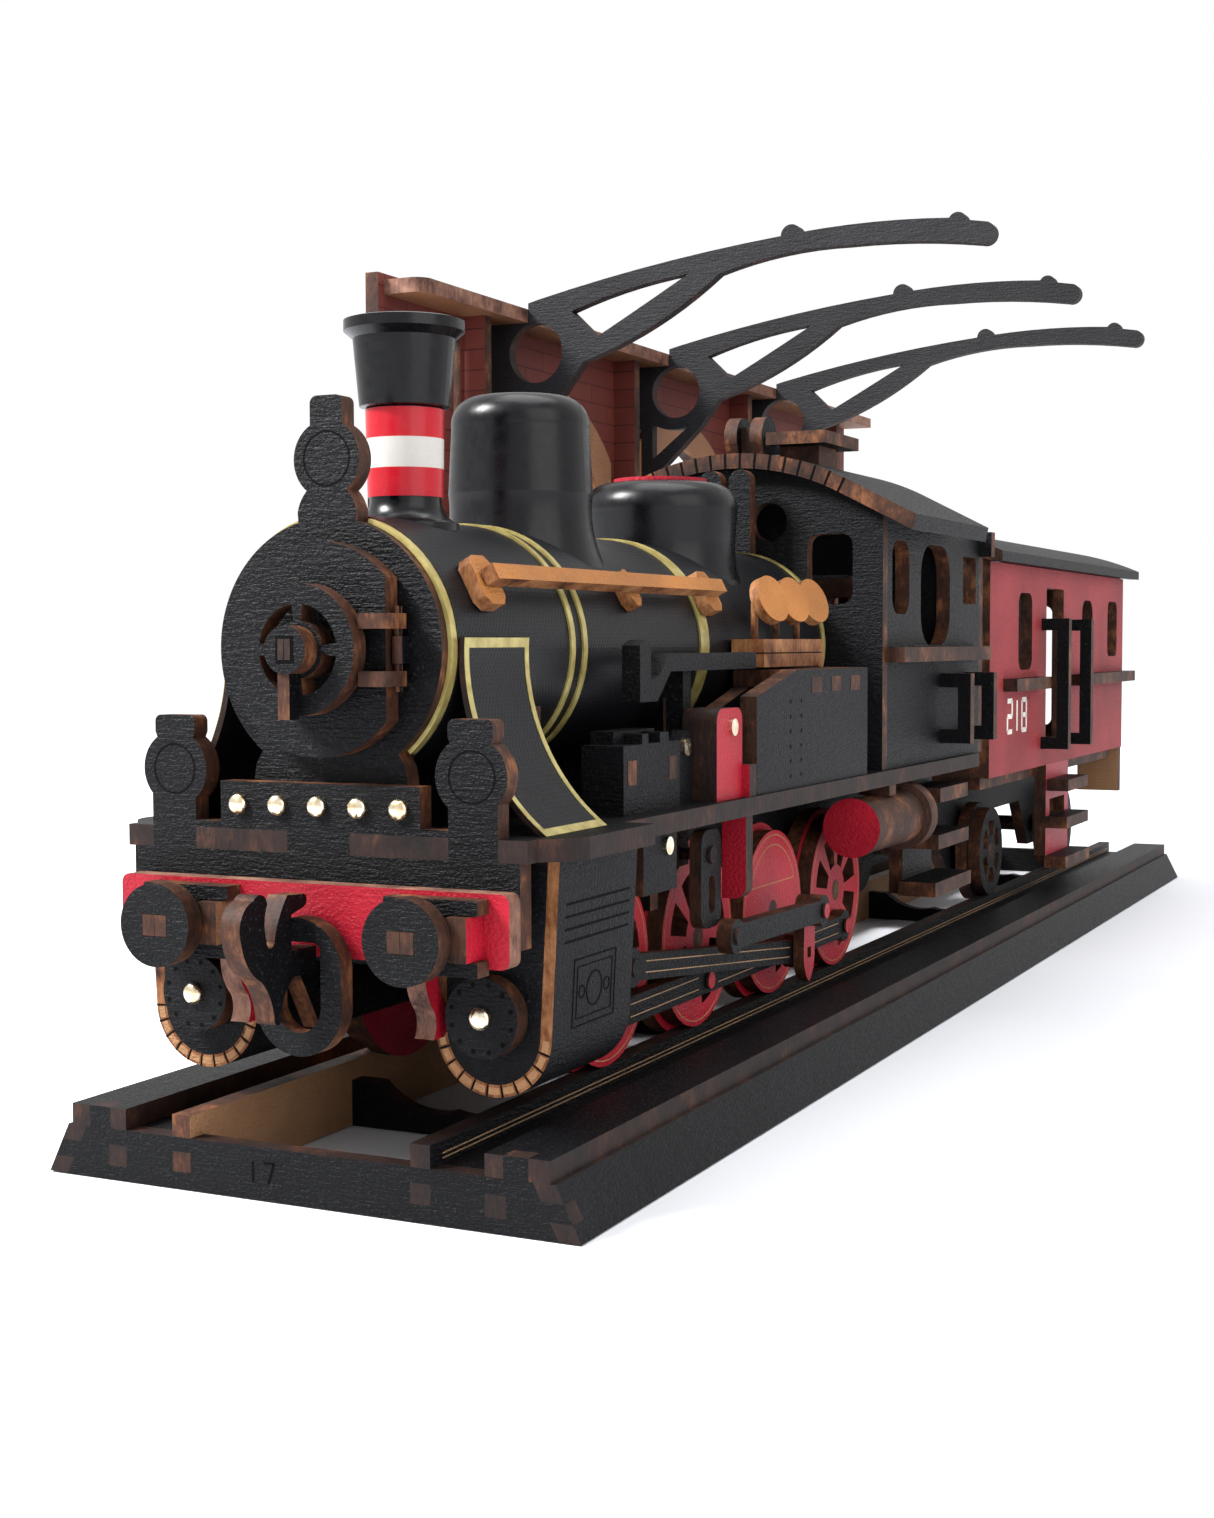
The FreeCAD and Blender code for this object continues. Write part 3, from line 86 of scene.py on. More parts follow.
class Shader:
    """A material under construction, with short names for the nodes it needs."""

    def __init__(self, name):
        self.material = bpy.data.materials.new(name)
        self.material.use_nodes = True
        self.tree = self.material.node_tree
        self.surface = self.tree.nodes["Principled BSDF"]
        self.place = self.add("ShaderNodeTexCoord").outputs["Object"]

    def add(self, kind, **settings):
        node = self.tree.nodes.new(kind)
        for key, value in settings.items():
            setattr(node, key, value)
        return node

    def link(self, source, target):
        self.tree.links.new(source, target)

    def stretched(self, scale):
        """The surface's own coordinates, scaled apart along x, y and z."""
        mapping = self.add("ShaderNodeMapping")
        mapping.inputs["Scale"].default_value = scale
        self.link(self.place, mapping.inputs["Vector"])
        return mapping.outputs["Vector"]

    def noise(self, scale, detail=3.0, rough=0.55, where=None):
        noise = self.add("ShaderNodeTexNoise")
        noise.inputs["Scale"].default_value = scale
        noise.inputs["Detail"].default_value = detail
        noise.inputs["Roughness"].default_value = rough
        self.link(where or self.place, noise.inputs["Vector"])
        return noise.outputs["Fac"]

    def ramp(self, value, stops):
        """A colour ramp with (position, colour) stops."""
        ramp = self.add("ShaderNodeValToRGB")
        elements = ramp.color_ramp.elements
        while len(elements) < len(stops):
            elements.new(0.5)
        for element, (position, colour) in zip(elements, stops):
            element.position = position
            element.color = (*colour, 1)
        self.link(value, ramp.inputs["Fac"])
        return ramp.outputs["Color"]

    def grey(self, value, low, high, dark=0.0, light=1.0):
        """A value pushed between two levels."""
        change = self.add("ShaderNodeMapRange")
        for key, number in (("From Min", low), ("From Max", high), ("To Min", dark), ("To Max", light)):
            change.inputs[key].default_value = number
        self.link(value, change.inputs["Value"])
        return change.outputs["Result"]

    def mix(self, factor, first, second, kind="MIX"):
        mix = self.add("ShaderNodeMix", data_type="RGBA", blend_type=kind)
        for socket, value in ((mix.inputs[0], factor), (mix.inputs[6], first), (mix.inputs[7], second)):
            if isinstance(value, (int, float)):
                socket.default_value = value
            elif isinstance(value, tuple):
                socket.default_value = (*value, 1)
            else:
                self.link(value, socket)
        return mix.outputs[2]

    def math(self, operation, first, second=0.0):
        sums = self.add("ShaderNodeMath", operation=operation)
        for socket, value in zip(sums.inputs, (first, second)):
            if isinstance(value, (int, float)):
                socket.default_value = value
            else:
                self.link(value, socket)
        return sums.outputs[0]

    def split(self):
        parts = self.add("ShaderNodeSeparateXYZ")
        self.link(self.place, parts.inputs[0])
        return parts.outputs

    def bump(self, height, distance, strength=1.0):
        bump = self.add("ShaderNodeBump")
        bump.inputs["Strength"].default_value = strength
        bump.inputs["Distance"].default_value = distance
        self.link(height, bump.inputs["Height"])
        self.link(bump.outputs["Normal"], self.surface.inputs["Normal"])

    def finish(self, colour, roughness, metallic=0.0, shine=0.5):
        self.surface.inputs["Specular IOR Level"].default_value = shine
        for name, value in (("Base Color", colour), ("Roughness", roughness), ("Metallic", metallic)):
            socket = self.surface.inputs[name]
            if isinstance(value, tuple):
                socket.default_value = (*value, 1)
            elif isinstance(value, (int, float)):
                socket.default_value = value
            else:
                self.link(value, socket)
        return self.material


def painted(name, colour, speck, speckle=0.25, grain=0.5, roughness=(0.42, 0.62), shine=0.3):
    """Satin paint on ply: fine grit that catches the light, faint grain along the board."""
    s = Shader(name)
    grit = s.noise(2300, 2.0, 0.6)
    grain_lines = s.noise(1.0, 3.0, 0.6, s.stretched((450, 450, 2600)))
    cloud = s.noise(55, 3.0)
    darker = tuple(c * 0.8 for c in colour)
    lighter = tuple(min(1, c * 1.2) for c in colour)
    shade = s.mix(s.grey(cloud, 0.35, 0.7), darker, lighter)
    flecks = s.math("MULTIPLY", s.grey(grit, 0.62, 0.74), speckle)
    final = s.mix(flecks, shade, speck)
    height = s.math("ADD", s.math("MULTIPLY", grit, 0.7), s.math("MULTIPLY", grain_lines, grain))
    s.bump(height, 0.0003, 0.9)
    return s.finish(final, s.grey(grit, 0.3, 0.7, *roughness), shine=shine)


def burnt(name, dark, middle, light, bright=0.5):
    """A laser-cut edge: scorched brown with paler streaks; bright lets more of the light tone show."""
    s = Shader(name)
    patches = s.noise(170, 3.0, 0.6)
    streaks = s.noise(1.0, 3.0, 0.7, s.stretched((1500, 1500, 500)))
    level = s.math("ADD", s.math("MULTIPLY", patches, 0.65), s.math("MULTIPLY", streaks, 0.35))
    middle_at = 0.36 + 0.18 * (1.4 - bright)
    light_at = 0.62 + 0.2 * (1 - bright)
    colour = s.ramp(level, [(0.36, dark), (middle_at, middle), (light_at, light)])
    s.bump(streaks, 0.0002, 0.6)
    return s.finish(colour, 0.62, shine=0.2)


def make_materials():
    m = {}
    m["black"] = painted("black_paint", (0.0026, 0.0027, 0.0034), (0.10, 0.105, 0.12), 0.22, 0.9,
                         (0.36, 0.56), 0.1)
    m["charcoal"] = painted("charcoal_paint", (0.0034, 0.0035, 0.0043), (0.08, 0.085, 0.1), 0.2, 0.9,
                            (0.38, 0.58), 0.1)
    m["arm_black"] = painted("arm_paint", (0.013, 0.0125, 0.0145), (0.06, 0.06, 0.065), 0.3, 0.9,
                             (0.5, 0.7), 0.15)
    m["red"] = painted("red_paint", (0.30, 0.006, 0.017), (0.5, 0.1, 0.12), 0.12, 0.3,
                       (0.38, 0.5), 0.2)
    m["rose"] = painted("rose_paint", (0.23, 0.026, 0.030), (0.4, 0.12, 0.1), 0.3, 0.9, (0.5, 0.65), 0.15)
    m["bare"] = painted("bare_ply", (0.28, 0.145, 0.07), (0.14, 0.06, 0.025), 0.4, 1.0, (0.55, 0.7))
    m["orange"] = painted("orange_stain", (0.33, 0.125, 0.026), (0.13, 0.04, 0.012), 0.5, 0.8, (0.45, 0.6))
    m["brown"] = painted("brown_stain", (0.05, 0.021, 0.014), (0.02, 0.009, 0.006), 0.5, 1.0, (0.45, 0.6))
    m["cream"] = painted("cream_stain", (0.27, 0.125, 0.06), (0.15, 0.06, 0.03), 0.4, 0.9, (0.5, 0.65))
    m["burnt"] = burnt("burnt_edge", (0.010, 0.0045, 0.003), (0.045, 0.016, 0.008), (0.20, 0.075, 0.028))
    m["dark_burnt"] = burnt("dark_burnt_edge", (0.005, 0.003, 0.003), (0.018, 0.008, 0.006),
                            (0.08, 0.03, 0.014), 0.35)
    m["pale_burnt"] = burnt("pale_burnt_edge", (0.035, 0.016, 0.012), (0.12, 0.055, 0.038),
                            (0.26, 0.135, 0.09), 0.8)
    m["warm_burnt"] = burnt("warm_burnt_edge", (0.022, 0.007, 0.003), (0.13, 0.042, 0.012),
                            (0.32, 0.15, 0.06), 0.9)
    m["gold"] = gold()
    m["leather"] = leather()
    m["gloss_black"] = gloss_black()
    m["chimney"] = chimney_rings()
    m["brass"] = brass()
    m["bricks"] = bricks()
    # Dark lines and fills: real burnt engraving, and painted shade in gaps, slots and cuts.
    m["hole"] = painted("burn_and_gap_shade_paint", (0.002, 0.0018, 0.0018), (0.02, 0.02, 0.02), 0.2, 0.3, (0.7, 0.8), 0.05)
    m["pale_core"] = painted("pale_core", (0.33, 0.17, 0.08), (0.12, 0.05, 0.02), 0.5, 1.2, (0.55, 0.7), 0.2)
    m["tan_line"] = painted("tan_line", (0.28, 0.17, 0.09), (0.12, 0.06, 0.03), 0.4, 0.8, (0.5, 0.65), 0.2)
    m["white"] = painted("white_print", (0.7, 0.66, 0.6), (0.5, 0.45, 0.4), 0.4, 0.6, (0.5, 0.6))
    return m


def gold():
    s = Shader("gold_card")
    sheen = s.noise(500, 2.0)
    colour = s.ramp(sheen, [(0.35, (0.30, 0.235, 0.07)), (0.65, (0.44, 0.37, 0.135))])
    s.bump(s.noise(1800), 0.00006, 0.5)
    return s.finish(colour, 0.34, 0.35)


def leather():
    """The embossed skin of the boiler and its side sheets: fine crossed hatching."""
    s = Shader("embossed_skin")
    waves = []
    for tilt in (0.9, -0.9):
        mapping = s.add("ShaderNodeMapping")
        mapping.inputs["Rotation"].default_value = (tilt, 0.5 * tilt, tilt)
        s.link(s.place, mapping.inputs["Vector"])
        wave = s.add("ShaderNodeTexWave", wave_type="BANDS", bands_direction="Z")
        wave.inputs["Scale"].default_value = 520
        wave.inputs["Distortion"].default_value = 2.2
        wave.inputs["Detail"].default_value = 2.0
        wave.inputs["Detail Scale"].default_value = 3.0
        s.link(mapping.outputs["Vector"], wave.inputs["Vector"])
        waves.append(wave.outputs["Fac"])
    hatch = s.math("MAXIMUM", waves[0], waves[1])
    fine = s.noise(1500, 2.0)
    colour = s.mix(s.grey(hatch, 0.5, 1.0), (0.0018, 0.0019, 0.0025), (0.006, 0.0063, 0.0085))
    s.bump(s.math("ADD", hatch, s.math("MULTIPLY", fine, 0.5)), 0.00006, 0.5)
    return s.finish(colour, s.grey(hatch, 0.3, 1.0, 0.5, 0.36), shine=0.18)


def gloss_black():
    """Moulded plastic of the domes and chimney, satin with a soft highlight."""
    s = Shader("gloss_black")
    cloud = s.noise(40, 2.0)
    s.bump(s.noise(160, 2.0), 0.00006, 0.2)
    colour = s.ramp(cloud, [(0.3, (0.0012, 0.0013, 0.002)), (0.7, (0.0025, 0.0027, 0.004))])
    return s.finish(colour, s.grey(s.noise(700), 0.3, 0.7, 0.24, 0.34), shine=0.24)


def chimney_rings():
    """The chimney: satin black with a red, an off-white and a red ring."""
    collar = (89.5, 101.25)
    white_ring = (93.3, 97.3)
    s = Shader("chimney_rings")
    height = s.split()[2]

    def between(low, high):
        above = s.math("GREATER_THAN", height, low * MM)
        below = s.math("LESS_THAN", height, high * MM)
        return s.math("MULTIPLY", above, below)

    red = s.mix(s.noise(300), (0.30, 0.006, 0.012), (0.42, 0.01, 0.02))
    black = s.mix(s.noise(60), (0.0012, 0.0013, 0.002), (0.0028, 0.003, 0.0042))
    rings = s.mix(between(*white_ring), red, (0.46, 0.44, 0.41))
    s.bump(s.noise(400), 0.00004, 0.3)
    colour = s.mix(between(*collar), black, rings)
    return s.finish(colour, s.grey(s.noise(700), 0.3, 0.7, 0.2, 0.32), shine=0.25)


def brass():
    s = Shader("nail_brass")
    tone = s.ramp(s.noise(700, 2.0), [(0.3, (0.62, 0.47, 0.26)), (0.7, (0.83, 0.76, 0.62))])
    s.bump(s.noise(900, 2.0), 0.00008, 0.35)
    return s.finish(tone, s.grey(s.noise(1300), 0.3, 0.7, 0.16, 0.34), 1.0)


def bricks():
    """The station wall: planks drawn with thin dark lines."""
    s = Shader("brick_print")
    parts = s.split()
    along = s.add("ShaderNodeCombineXYZ")
    s.link(parts[1], along.inputs[0])
    s.link(parts[2], along.inputs[1])
    brick = s.add("ShaderNodeTexBrick")
    for key, value in (("Scale", 1.0), ("Mortar Size", 0.00016), ("Mortar Smooth", 0.2),
                       ("Brick Width", 0.0165), ("Row Height", 0.0042), ("Bias", -0.2)):
        brick.inputs[key].default_value = value
    brick.inputs["Color1"].default_value = (0.115, 0.024, 0.018, 1)
    brick.inputs["Color2"].default_value = (0.14, 0.030, 0.022, 1)
    brick.inputs["Mortar"].default_value = (0.05, 0.012, 0.010, 1)
    s.link(along.outputs[0], brick.inputs["Vector"])
    cloud = s.noise(90, 4.0)
    colour = s.mix(s.grey(cloud, 0.3, 0.75, 0.0, 0.5), brick.outputs["Color"], (0.085, 0.020, 0.015))
    grooves = s.math("MULTIPLY", brick.outputs["Fac"], -1.0)
    s.bump(s.math("ADD", grooves, s.math("MULTIPLY", s.noise(1500), 0.5)), 0.0002, 0.6)
    return s.finish(colour, 0.6, shine=0.2)


# ---------------------------------------------------------------- painting the CAD boards

def solids(mesh):
    """The separate solids of a mesh, as arrays of its face numbers."""
    corners = np.empty(len(mesh.vertices) * 3)
    mesh.vertices.foreach_get("co", corners)
    _, same = np.unique(np.round(corners.reshape(-1, 3), 6), axis=0, return_inverse=True)
    same = same.reshape(-1)
    faces = [[same[v] for v in face.vertices] for face in mesh.polygons]
    label = np.arange(same.max() + 1)
    while True:
        before = label.copy()
        for face in faces:
            lowest = min(label[v] for v in face)
            for v in face:
                label[v] = lowest
        if (label == before).all():
            break
    groups = {}
    for index, face in enumerate(faces):
        groups.setdefault(int(label[face[0]]), []).append(index)
    return list(groups.values())


def board_normal(mesh, faces):
    """The direction that most of a solid's surface looks along."""
    areas = {}
    for index in faces:
        face = mesh.polygons[index]
        key = tuple(round(abs(c), 1) for c in face.normal)
        areas.setdefault(key, [0.0, face.normal.copy()])
        areas[key][0] += face.area
    return max(areas.values(), key=lambda item: item[0])[1]


def dress(name, paint, edge="burnt", sweep=None, pick=None):
    """Paint a CAD node's board faces and leave its cut edges burnt, or paint it all where edge is None.

    sweep names the axis a bent skin runs along, so its end faces are the cut ones. pick(middle) may
    give another paint and edge for a solid by its middle, in drawing millimetres.
    """
    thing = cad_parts[name]
    mesh = thing.data
    slots = []

    def slot_of(key):
        if key not in slots:
            slots.append(key)
        return slots.index(key)

    chosen = [0] * len(mesh.polygons)
    for faces in solids(mesh):
        middle = sum((mesh.polygons[i].center for i in faces), Vector()) / len(faces)
        middle = (middle - ORIGIN) / MM
        body_paint, body_edge = paint, edge
        picked = pick(middle) if pick else None
        if picked:
            body_paint, body_edge = picked
        face_way = None if sweep else board_normal(mesh, faces)
        for index in faces:
            way = mesh.polygons[index].normal
            if sweep:
                is_edge = abs(way["xyz".index(sweep)]) > END_FACE
            else:
                is_edge = abs(way.dot(face_way)) < BOARD_FACE
            chosen[index] = slot_of(body_edge if is_edge and body_edge else body_paint)
    mesh.materials.clear()
    for key in slots:
        mesh.materials.append(MATERIALS[key])
    mesh.polygons.foreach_set("material_index", chosen)
    mesh.update()


def all_over(name, paint, pick=None):
    dress(name, paint, None, pick=pick)


def left_rail_paint(c):
    """The inner rail on the station's side is bare wood."""
    return ("bare", "burnt") if abs(c.x + 17.8) < 1.5 and c.z < 12 else None


def buffer_paint(c):
    """Of the pieces behind the buffer heads, one on the right is red and one on the left is bare."""
    if 22 < c.x < 26 and c.y > -1:
        return "red", "burnt"
    if -14 < c.x < -10 and c.y > -1.2:
        return "bare", "burnt"
    return None


def dress_track_and_station():
    for name in ("base_end_plates", "base_side_panels", "base_decks", "base_channel_boards"):
        dress(name, "charcoal", "dark_burnt")
    dress("inner_rails", "charcoal", "dark_burnt", pick=left_rail_paint)
    dress("platform_boards", "brown")
    dress("station_wall", "bricks")
    dress("arch_trims", "cream", "warm_burnt")
    dress("wall_pilasters", "bricks", "burnt", pick=lambda c: ("cream", "pale_burnt") if c.z > 130 else None)
    dress("canopy_arms", "arm_black", "dark_burnt")


def dress_locomotive():
    dress("buffer_beam", "red", "pale_burnt")
    dress("buffers", "black", "burnt", pick=buffer_paint)
    for name in ("coupling_hook", "coupling_link", "front_plate", "smokebox_plate", "smokebox_door",
                 "hand_wheel"):
        dress(name, "black", "burnt")
    dress("rail_guards", "red", "pale_burnt")
    dress("boiler_shell", "leather", "dark_burnt", sweep="y")
    dress("smokebox_skirts", "leather", "dark_burnt", sweep="y")
    all_over("boiler_bands", "gold")
    all_over("chimney", "chimney")
    all_over("steam_dome", "gloss_black")
    all_over("sand_dome", "gloss_black", pick=lambda c: ("red", None) if c.z > 97.2 else None)
    for name in ("boiler_saddles", "loco_frames", "cylinder_plates", "side_tanks", "coupling_rods",
                 "main_rods", "eccentric_rods", "expansion_links", "crossheads", "link_pivots",
                 "cab_ends", "cab_sides"):
        dress(name, "charcoal", "burnt")
    dress("running_board", "black", "dark_burnt")
    all_over("pump_boxes", "charcoal")
    all_over("reach_rods", "black")
    dress("cylinder_wraps", "charcoal", "warm_burnt", sweep="y")
    dress("motion_brackets", "red", "dark_burnt", pick=lambda c: ("charcoal", "burnt") if c.y < 60 else None)
    dress("air_tanks", "brown", "burnt", pick=lambda c: ("red", "burnt") if c.y < 139.5 else None)
    dress("handrails", "orange", "warm_burnt")
    dress("gauges", "orange", "warm_burnt", pick=lambda c: ("brown", "warm_burnt") if c.z < 71 else None)
    dress("cab_roof", "charcoal", "burnt", sweep="y")
    dress("roof_vent", "black", "burnt")
    dress("cab_fittings", "black", "burnt")
    for index in (1, 2, 3, 4):
        dress("wheelset_%d" % index, "red", "burnt")


def dress_carriage():
    dress("carriage_roof", "charcoal", "burnt", sweep="y")
    dress("carriage_underframe", "charcoal", "burnt",
          pick=lambda c: ("bare", "burnt") if c.y > 369.5 else None)
    dress("carriage_walls", "rose", "burnt")
    dress("carriage_fittings", "black", "burnt",
          pick=lambda c: ("red", "burnt") if 25 < abs(c.x) < 27.8 else None)
    for index in (1, 2):
        dress("carriage_wheelset_%d" % index, "charcoal", "burnt")


# ---------------------------------------------------------------- printed, engraved and inlaid details

class Inlay:
    """Thin pieces laid on the boards, in drawing millimetres, made into one mesh."""

    AXES = {"x": (1, 2, 0), "y": (0, 2, 1), "z": (0, 1, 2)}

    def __init__(self):
        self.points, self.faces = [], []

    def spot(self, axis, level, u, v):
        place = [0.0, 0.0, 0.0]
        first, second, third = self.AXES[axis]
        place[first], place[second], place[third] = u, v, level
        return tuple(place)

    def prism(self, lower, upper):
        """A closed slab between two loops of points."""
        start, count = len(self.points), len(lower)
        self.points += lower + upper
        self.faces.append(list(range(start + count - 1, start - 1, -1)))
        self.faces.append(list(range(start + count, start + 2 * count)))
        for i in range(count):
            j = (i + 1) % count
            self.faces.append([start + i, start + j, start + count + j, start + count + i])

    def slab(self, axis, level, outline, thick):
        """A flat outline standing out from a plane by thick."""
        self.prism([self.spot(axis, level, u, v) for u, v in outline],
                   [self.spot(axis, level + thick, u, v) for u, v in outline])

    def bar(self, axis, level, start, end, width, thick):
        """A straight line of some width on a plane."""
        (u0, v0), (u1, v1) = start, end
        length = math.hypot(u1 - u0, v1 - v0)
        across_u, across_v = -(v1 - v0) / length * width / 2, (u1 - u0) / length * width / 2
        self.slab(axis, level, [(u0 + across_u, v0 + across_v), (u0 - across_u, v0 - across_v),
                                (u1 - across_u, v1 - across_v), (u1 + across_u, v1 + across_v)], thick)

    def line(self, axis, level, points, width, thick):
        for start, end in zip(points, points[1:]):
            self.bar(axis, level, start, end, width, thick)

    def ring(self, axis, level, u, v, outer, inner, thick, start=0.0, end=360.0, steps=48):
        """A ring or part of one, cut into short pieces."""
        for i in range(steps):
            a, b = (math.radians(start + (end - start) * k / steps) for k in (i, i + 1))
            self.slab(axis, level, [(u + r * math.cos(t), v + r * math.sin(t))
                                    for r, t in ((outer, a), (outer, b), (inner, b), (inner, a))], thick)

    def dome(self, axis, level, u, v, radius, height, rows=6, count=28):
        """A domed head standing on a plane."""
        loops = []
        rounds = [2 * math.pi * k / count for k in range(count)]
        for row in range(rows):
            turn = math.pi / 2 * row / rows
            reach, rise = radius * math.cos(turn), height * math.sin(turn)
            loops.append([self.spot(axis, level + rise, u + reach * math.cos(t), v + reach * math.sin(t))
                          for t in rounds])
        start = len(self.points)
        for loop in loops:
            self.points += loop
        self.points.append(self.spot(axis, level + height, u, v))
        for row in range(rows - 1):
            for k in range(count):
                a, b = start + row * count + k, start + row * count + (k + 1) % count
                self.faces.append([a, b, b + count, a + count])
        last = start + (rows - 1) * count
        for k in range(count):
            self.faces.append([last + k, last + (k + 1) % count, len(self.points) - 1])

    def ribbon(self, path, side, width, thick):
        """A strip along path, a list of points with their normals; its width runs along side."""
        for (p, n), (q, m) in zip(path, path[1:]):
            corners = [p, q, tuple(q[i] + side[i] * width for i in range(3)),
                       tuple(p[i] + side[i] * width for i in range(3))]
            ways = [n, m, m, n]
            raised = [tuple(c[i] + w[i] * thick for i in range(3)) for c, w in zip(corners, ways)]
            self.prism(corners, raised)

    def take(self, other, move):
        """Add another inlay's pieces, with each point put where move sends it."""
        start = len(self.points)
        self.points += [move(point) for point in other.points]
        self.faces += [[start + corner for corner in face] for face in other.faces]

    def build(self, name, paint, body, smooth=False):
        mesh = bpy.data.meshes.new(name)
        mesh.from_pydata([tuple(at(*point)) for point in self.points], [], self.faces)
        shape = bmesh.new()
        shape.from_mesh(mesh)
        bmesh.ops.recalc_face_normals(shape, faces=shape.faces)
        shape.to_mesh(mesh)
        shape.free()
        mesh.materials.append(MATERIALS[paint])
        if smooth:
            mesh.polygons.foreach_set("use_smooth", [True] * len(mesh.polygons))
        thing = bpy.data.objects.new(name, mesh)
        bpy.context.scene.collection.objects.link(thing)
        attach(thing, body)


# The strokes of each digit that is used, on a digit one unit high.
STROKES = {
    "1": [[(0.3, 0), (0.3, 1)]],
    "2": [[(0, 1), (0.6, 1), (0.6, 0.5), (0, 0.5), (0, 0), (0.6, 0)]],
    "7": [[(0, 1), (0.6, 1), (0.25, 0)]],
    "8": [[(0, 0), (0, 1), (0.6, 1), (0.6, 0), (0, 0)], [(0, 0.5), (0.6, 0.5)]],
}
DIGIT_PITCH = 0.95


def number(inlay, axis, level, text, u, v, height, width, thick, way=1):
    """A plain number written with straight strokes; way is -1 where it reads towards lower u."""
    for index, digit in enumerate(text):
        for stroke in STROKES[digit]:
            points = [(u + way * (index * DIGIT_PITCH + a) * height, v + b * height) for a, b in stroke]
            inlay.line(axis, level, points, width, thick)


def build_front_details():
    cover_x, cover_z, dot_circle = 21.7, 23.8, 4.3
    engraved, heads = Inlay(), Inlay()
    for x in (-22.2, 22.2):
        engraved.ring("y", 5.5, x, 53.8, 3.3, 3.1, -0.04)
    engraved.ring("y", 8.3, 0, 93.3, 3.5, 3.3, -0.04)
    engraved.build("lamp_rings", "hole", "display_model")
    for x in (-12, -6, 0, 6, 12):
        heads.dome("y", 5.0, x, 49.5, 1.3, -0.55)
    for x in (-cover_x, cover_x):
        heads.dome("y", 7.8, x, cover_z, 1.4, -0.6)
    heads.build("front_nail_domes", "brass", "display_model", True)

    dots = Inlay()
    for x in (-cover_x, cover_x):
        for index in range(12):
            turn = math.radians(30 * index + 15)
            u, v = x + dot_circle * math.cos(turn), cover_z + dot_circle * math.sin(turn)
            dots.ring("y", 8.3, u, v, 0.32, 0.0, -LINE_DEPTH, steps=10)
    dots.build("cover_dots", "hole", "display_model")

    hub_face = -1.4
    hub, slot = Inlay(), Inlay()
    # The slot in the hub is a dark slab: painted shade inside the slot, behind the two tabs.
    slot.slab("y", hub_face, [(-1.3, 67.6), (1.3, 67.6), (1.3, 71.0), (-1.3, 71.0)], -END_DEPTH)
    slot.build("hand_wheel_slot", "hole", "hand_wheel")
    for low, high in ((-0.9, -0.05), (0.05, 0.9)):
        hub.slab("y", hub_face, [(low, 68.0), (high, 68.0), (high, 70.6), (low, 70.6)], -0.12)
    hub.build("hand_wheel_tab", "dark_burnt", "hand_wheel")


def skin_lean(z):
    """How far the cylinders' skin leans out at a height, between its middle and the running board."""
    return SKIN_LEAN * (z - CYLINDER_Z) / (RUNNING_BOARD_Z - CYLINDER_Z)


def cylinder_panel(side):
    """The double frame with rings that stands in for the photo's ornament, on an upright plane."""
    panel = Inlay()
    face, depth, ring_z = side * CYLINDER_SKIN, side * PANEL_DEPTH, 26.1
    for inset, width in ((0.0, 0.2), (1.0, 0.14)):
        low, high, front, back = 21.8 + inset, 30.4 - inset, 16.5 + inset, 28.5 - inset
        outline = [(front, low), (back, low), (back, high), (front, high), (front, low)]
        panel.line("x", face, outline, width, depth)
    panel.ring("x", face, 22.5, ring_z, 2.3, 2.1, depth, steps=24)
    for y in (18.9, 26.1):
        panel.ring("x", face, y, ring_z, 0.9, 0.72, depth, steps=16)
    return panel


def build_cylinder_details():
    """Bending cuts round the wraps' front edges, and the slits and panel on their skins."""
    pale, gap_shade, slits = Inlay(), Inlay(), Inlay()
    front, turn, inner = 11.1, 16, CYLINDER_RADIUS - CYLINDER_WRAP
    for x in (-CYLINDER_X, CYLINDER_X):
        for index in range(11):
            start = 183 + index * turn
            pale.ring("y", front, x, CYLINDER_Z, CYLINDER_RADIUS - 0.35, inner + 0.35, -END_DEPTH,
                      start + 1.5, start + 13.5, 3)
            # The cuts between the segments are dark strips: painted shade in the gaps.
            gap_shade.ring("y", front, x, CYLINDER_Z, CYLINDER_RADIUS, inner, -0.07, start - 0.9, start + 0.9, 1)
    for side in (-1, 1):
        for row in range(4):
            z = 33.0 + row * 1.6
            skin = CYLINDER_SKIN + skin_lean(z)
            slits.bar("x", side * skin, (13.5, z), (32.0, z), 0.3, side * END_DEPTH)
        slits.take(cylinder_panel(side), lambda p: (p[0] + side * skin_lean(p[2]), p[1], p[2]))
    pale.build("cylinder_wrap_core", "pale_core", "display_model")
    gap_shade.build("cylinder_wrap_kerfs", "hole", "display_model")
    slits.build("cylinder_slits", "hole", "display_model")


def skirt_line(side, begin, end):
    """Points and outward normals down the outer face of a side sheet, between two shares of it.

    The face is the arc through a, b and c.
    """
    a, b, c = Vector((18.1, 70.7)), Vector((20.2, 57.9)), Vector((29.4, 46.3))
    d = 2 * (a.x * (b.y - c.y) + b.x * (c.y - a.y) + c.x * (a.y - b.y))
    squares = [p.x ** 2 + p.y ** 2 for p in (a, b, c)]
    ux = (squares[0] * (b.y - c.y) + squares[1] * (c.y - a.y) + squares[2] * (a.y - b.y)) / d
    uz = (squares[0] * (c.x - b.x) + squares[1] * (a.x - c.x) + squares[2] * (b.x - a.x)) / d
    radius = math.hypot(a.x - ux, a.y - uz)
    first, last = math.atan2(a.y - uz, a.x - ux), math.atan2(c.y - uz, c.x - ux) + 2 * math.pi
    steps = 32
    path = []
    for step in range(steps + 1):
        turn = first + (last - first) * (begin + (end - begin) * step / steps)
        x, z = ux + radius * math.cos(turn), uz + radius * math.sin(turn)
        path.append((side * x, z, -side * math.cos(turn), -math.sin(turn)))
    return path


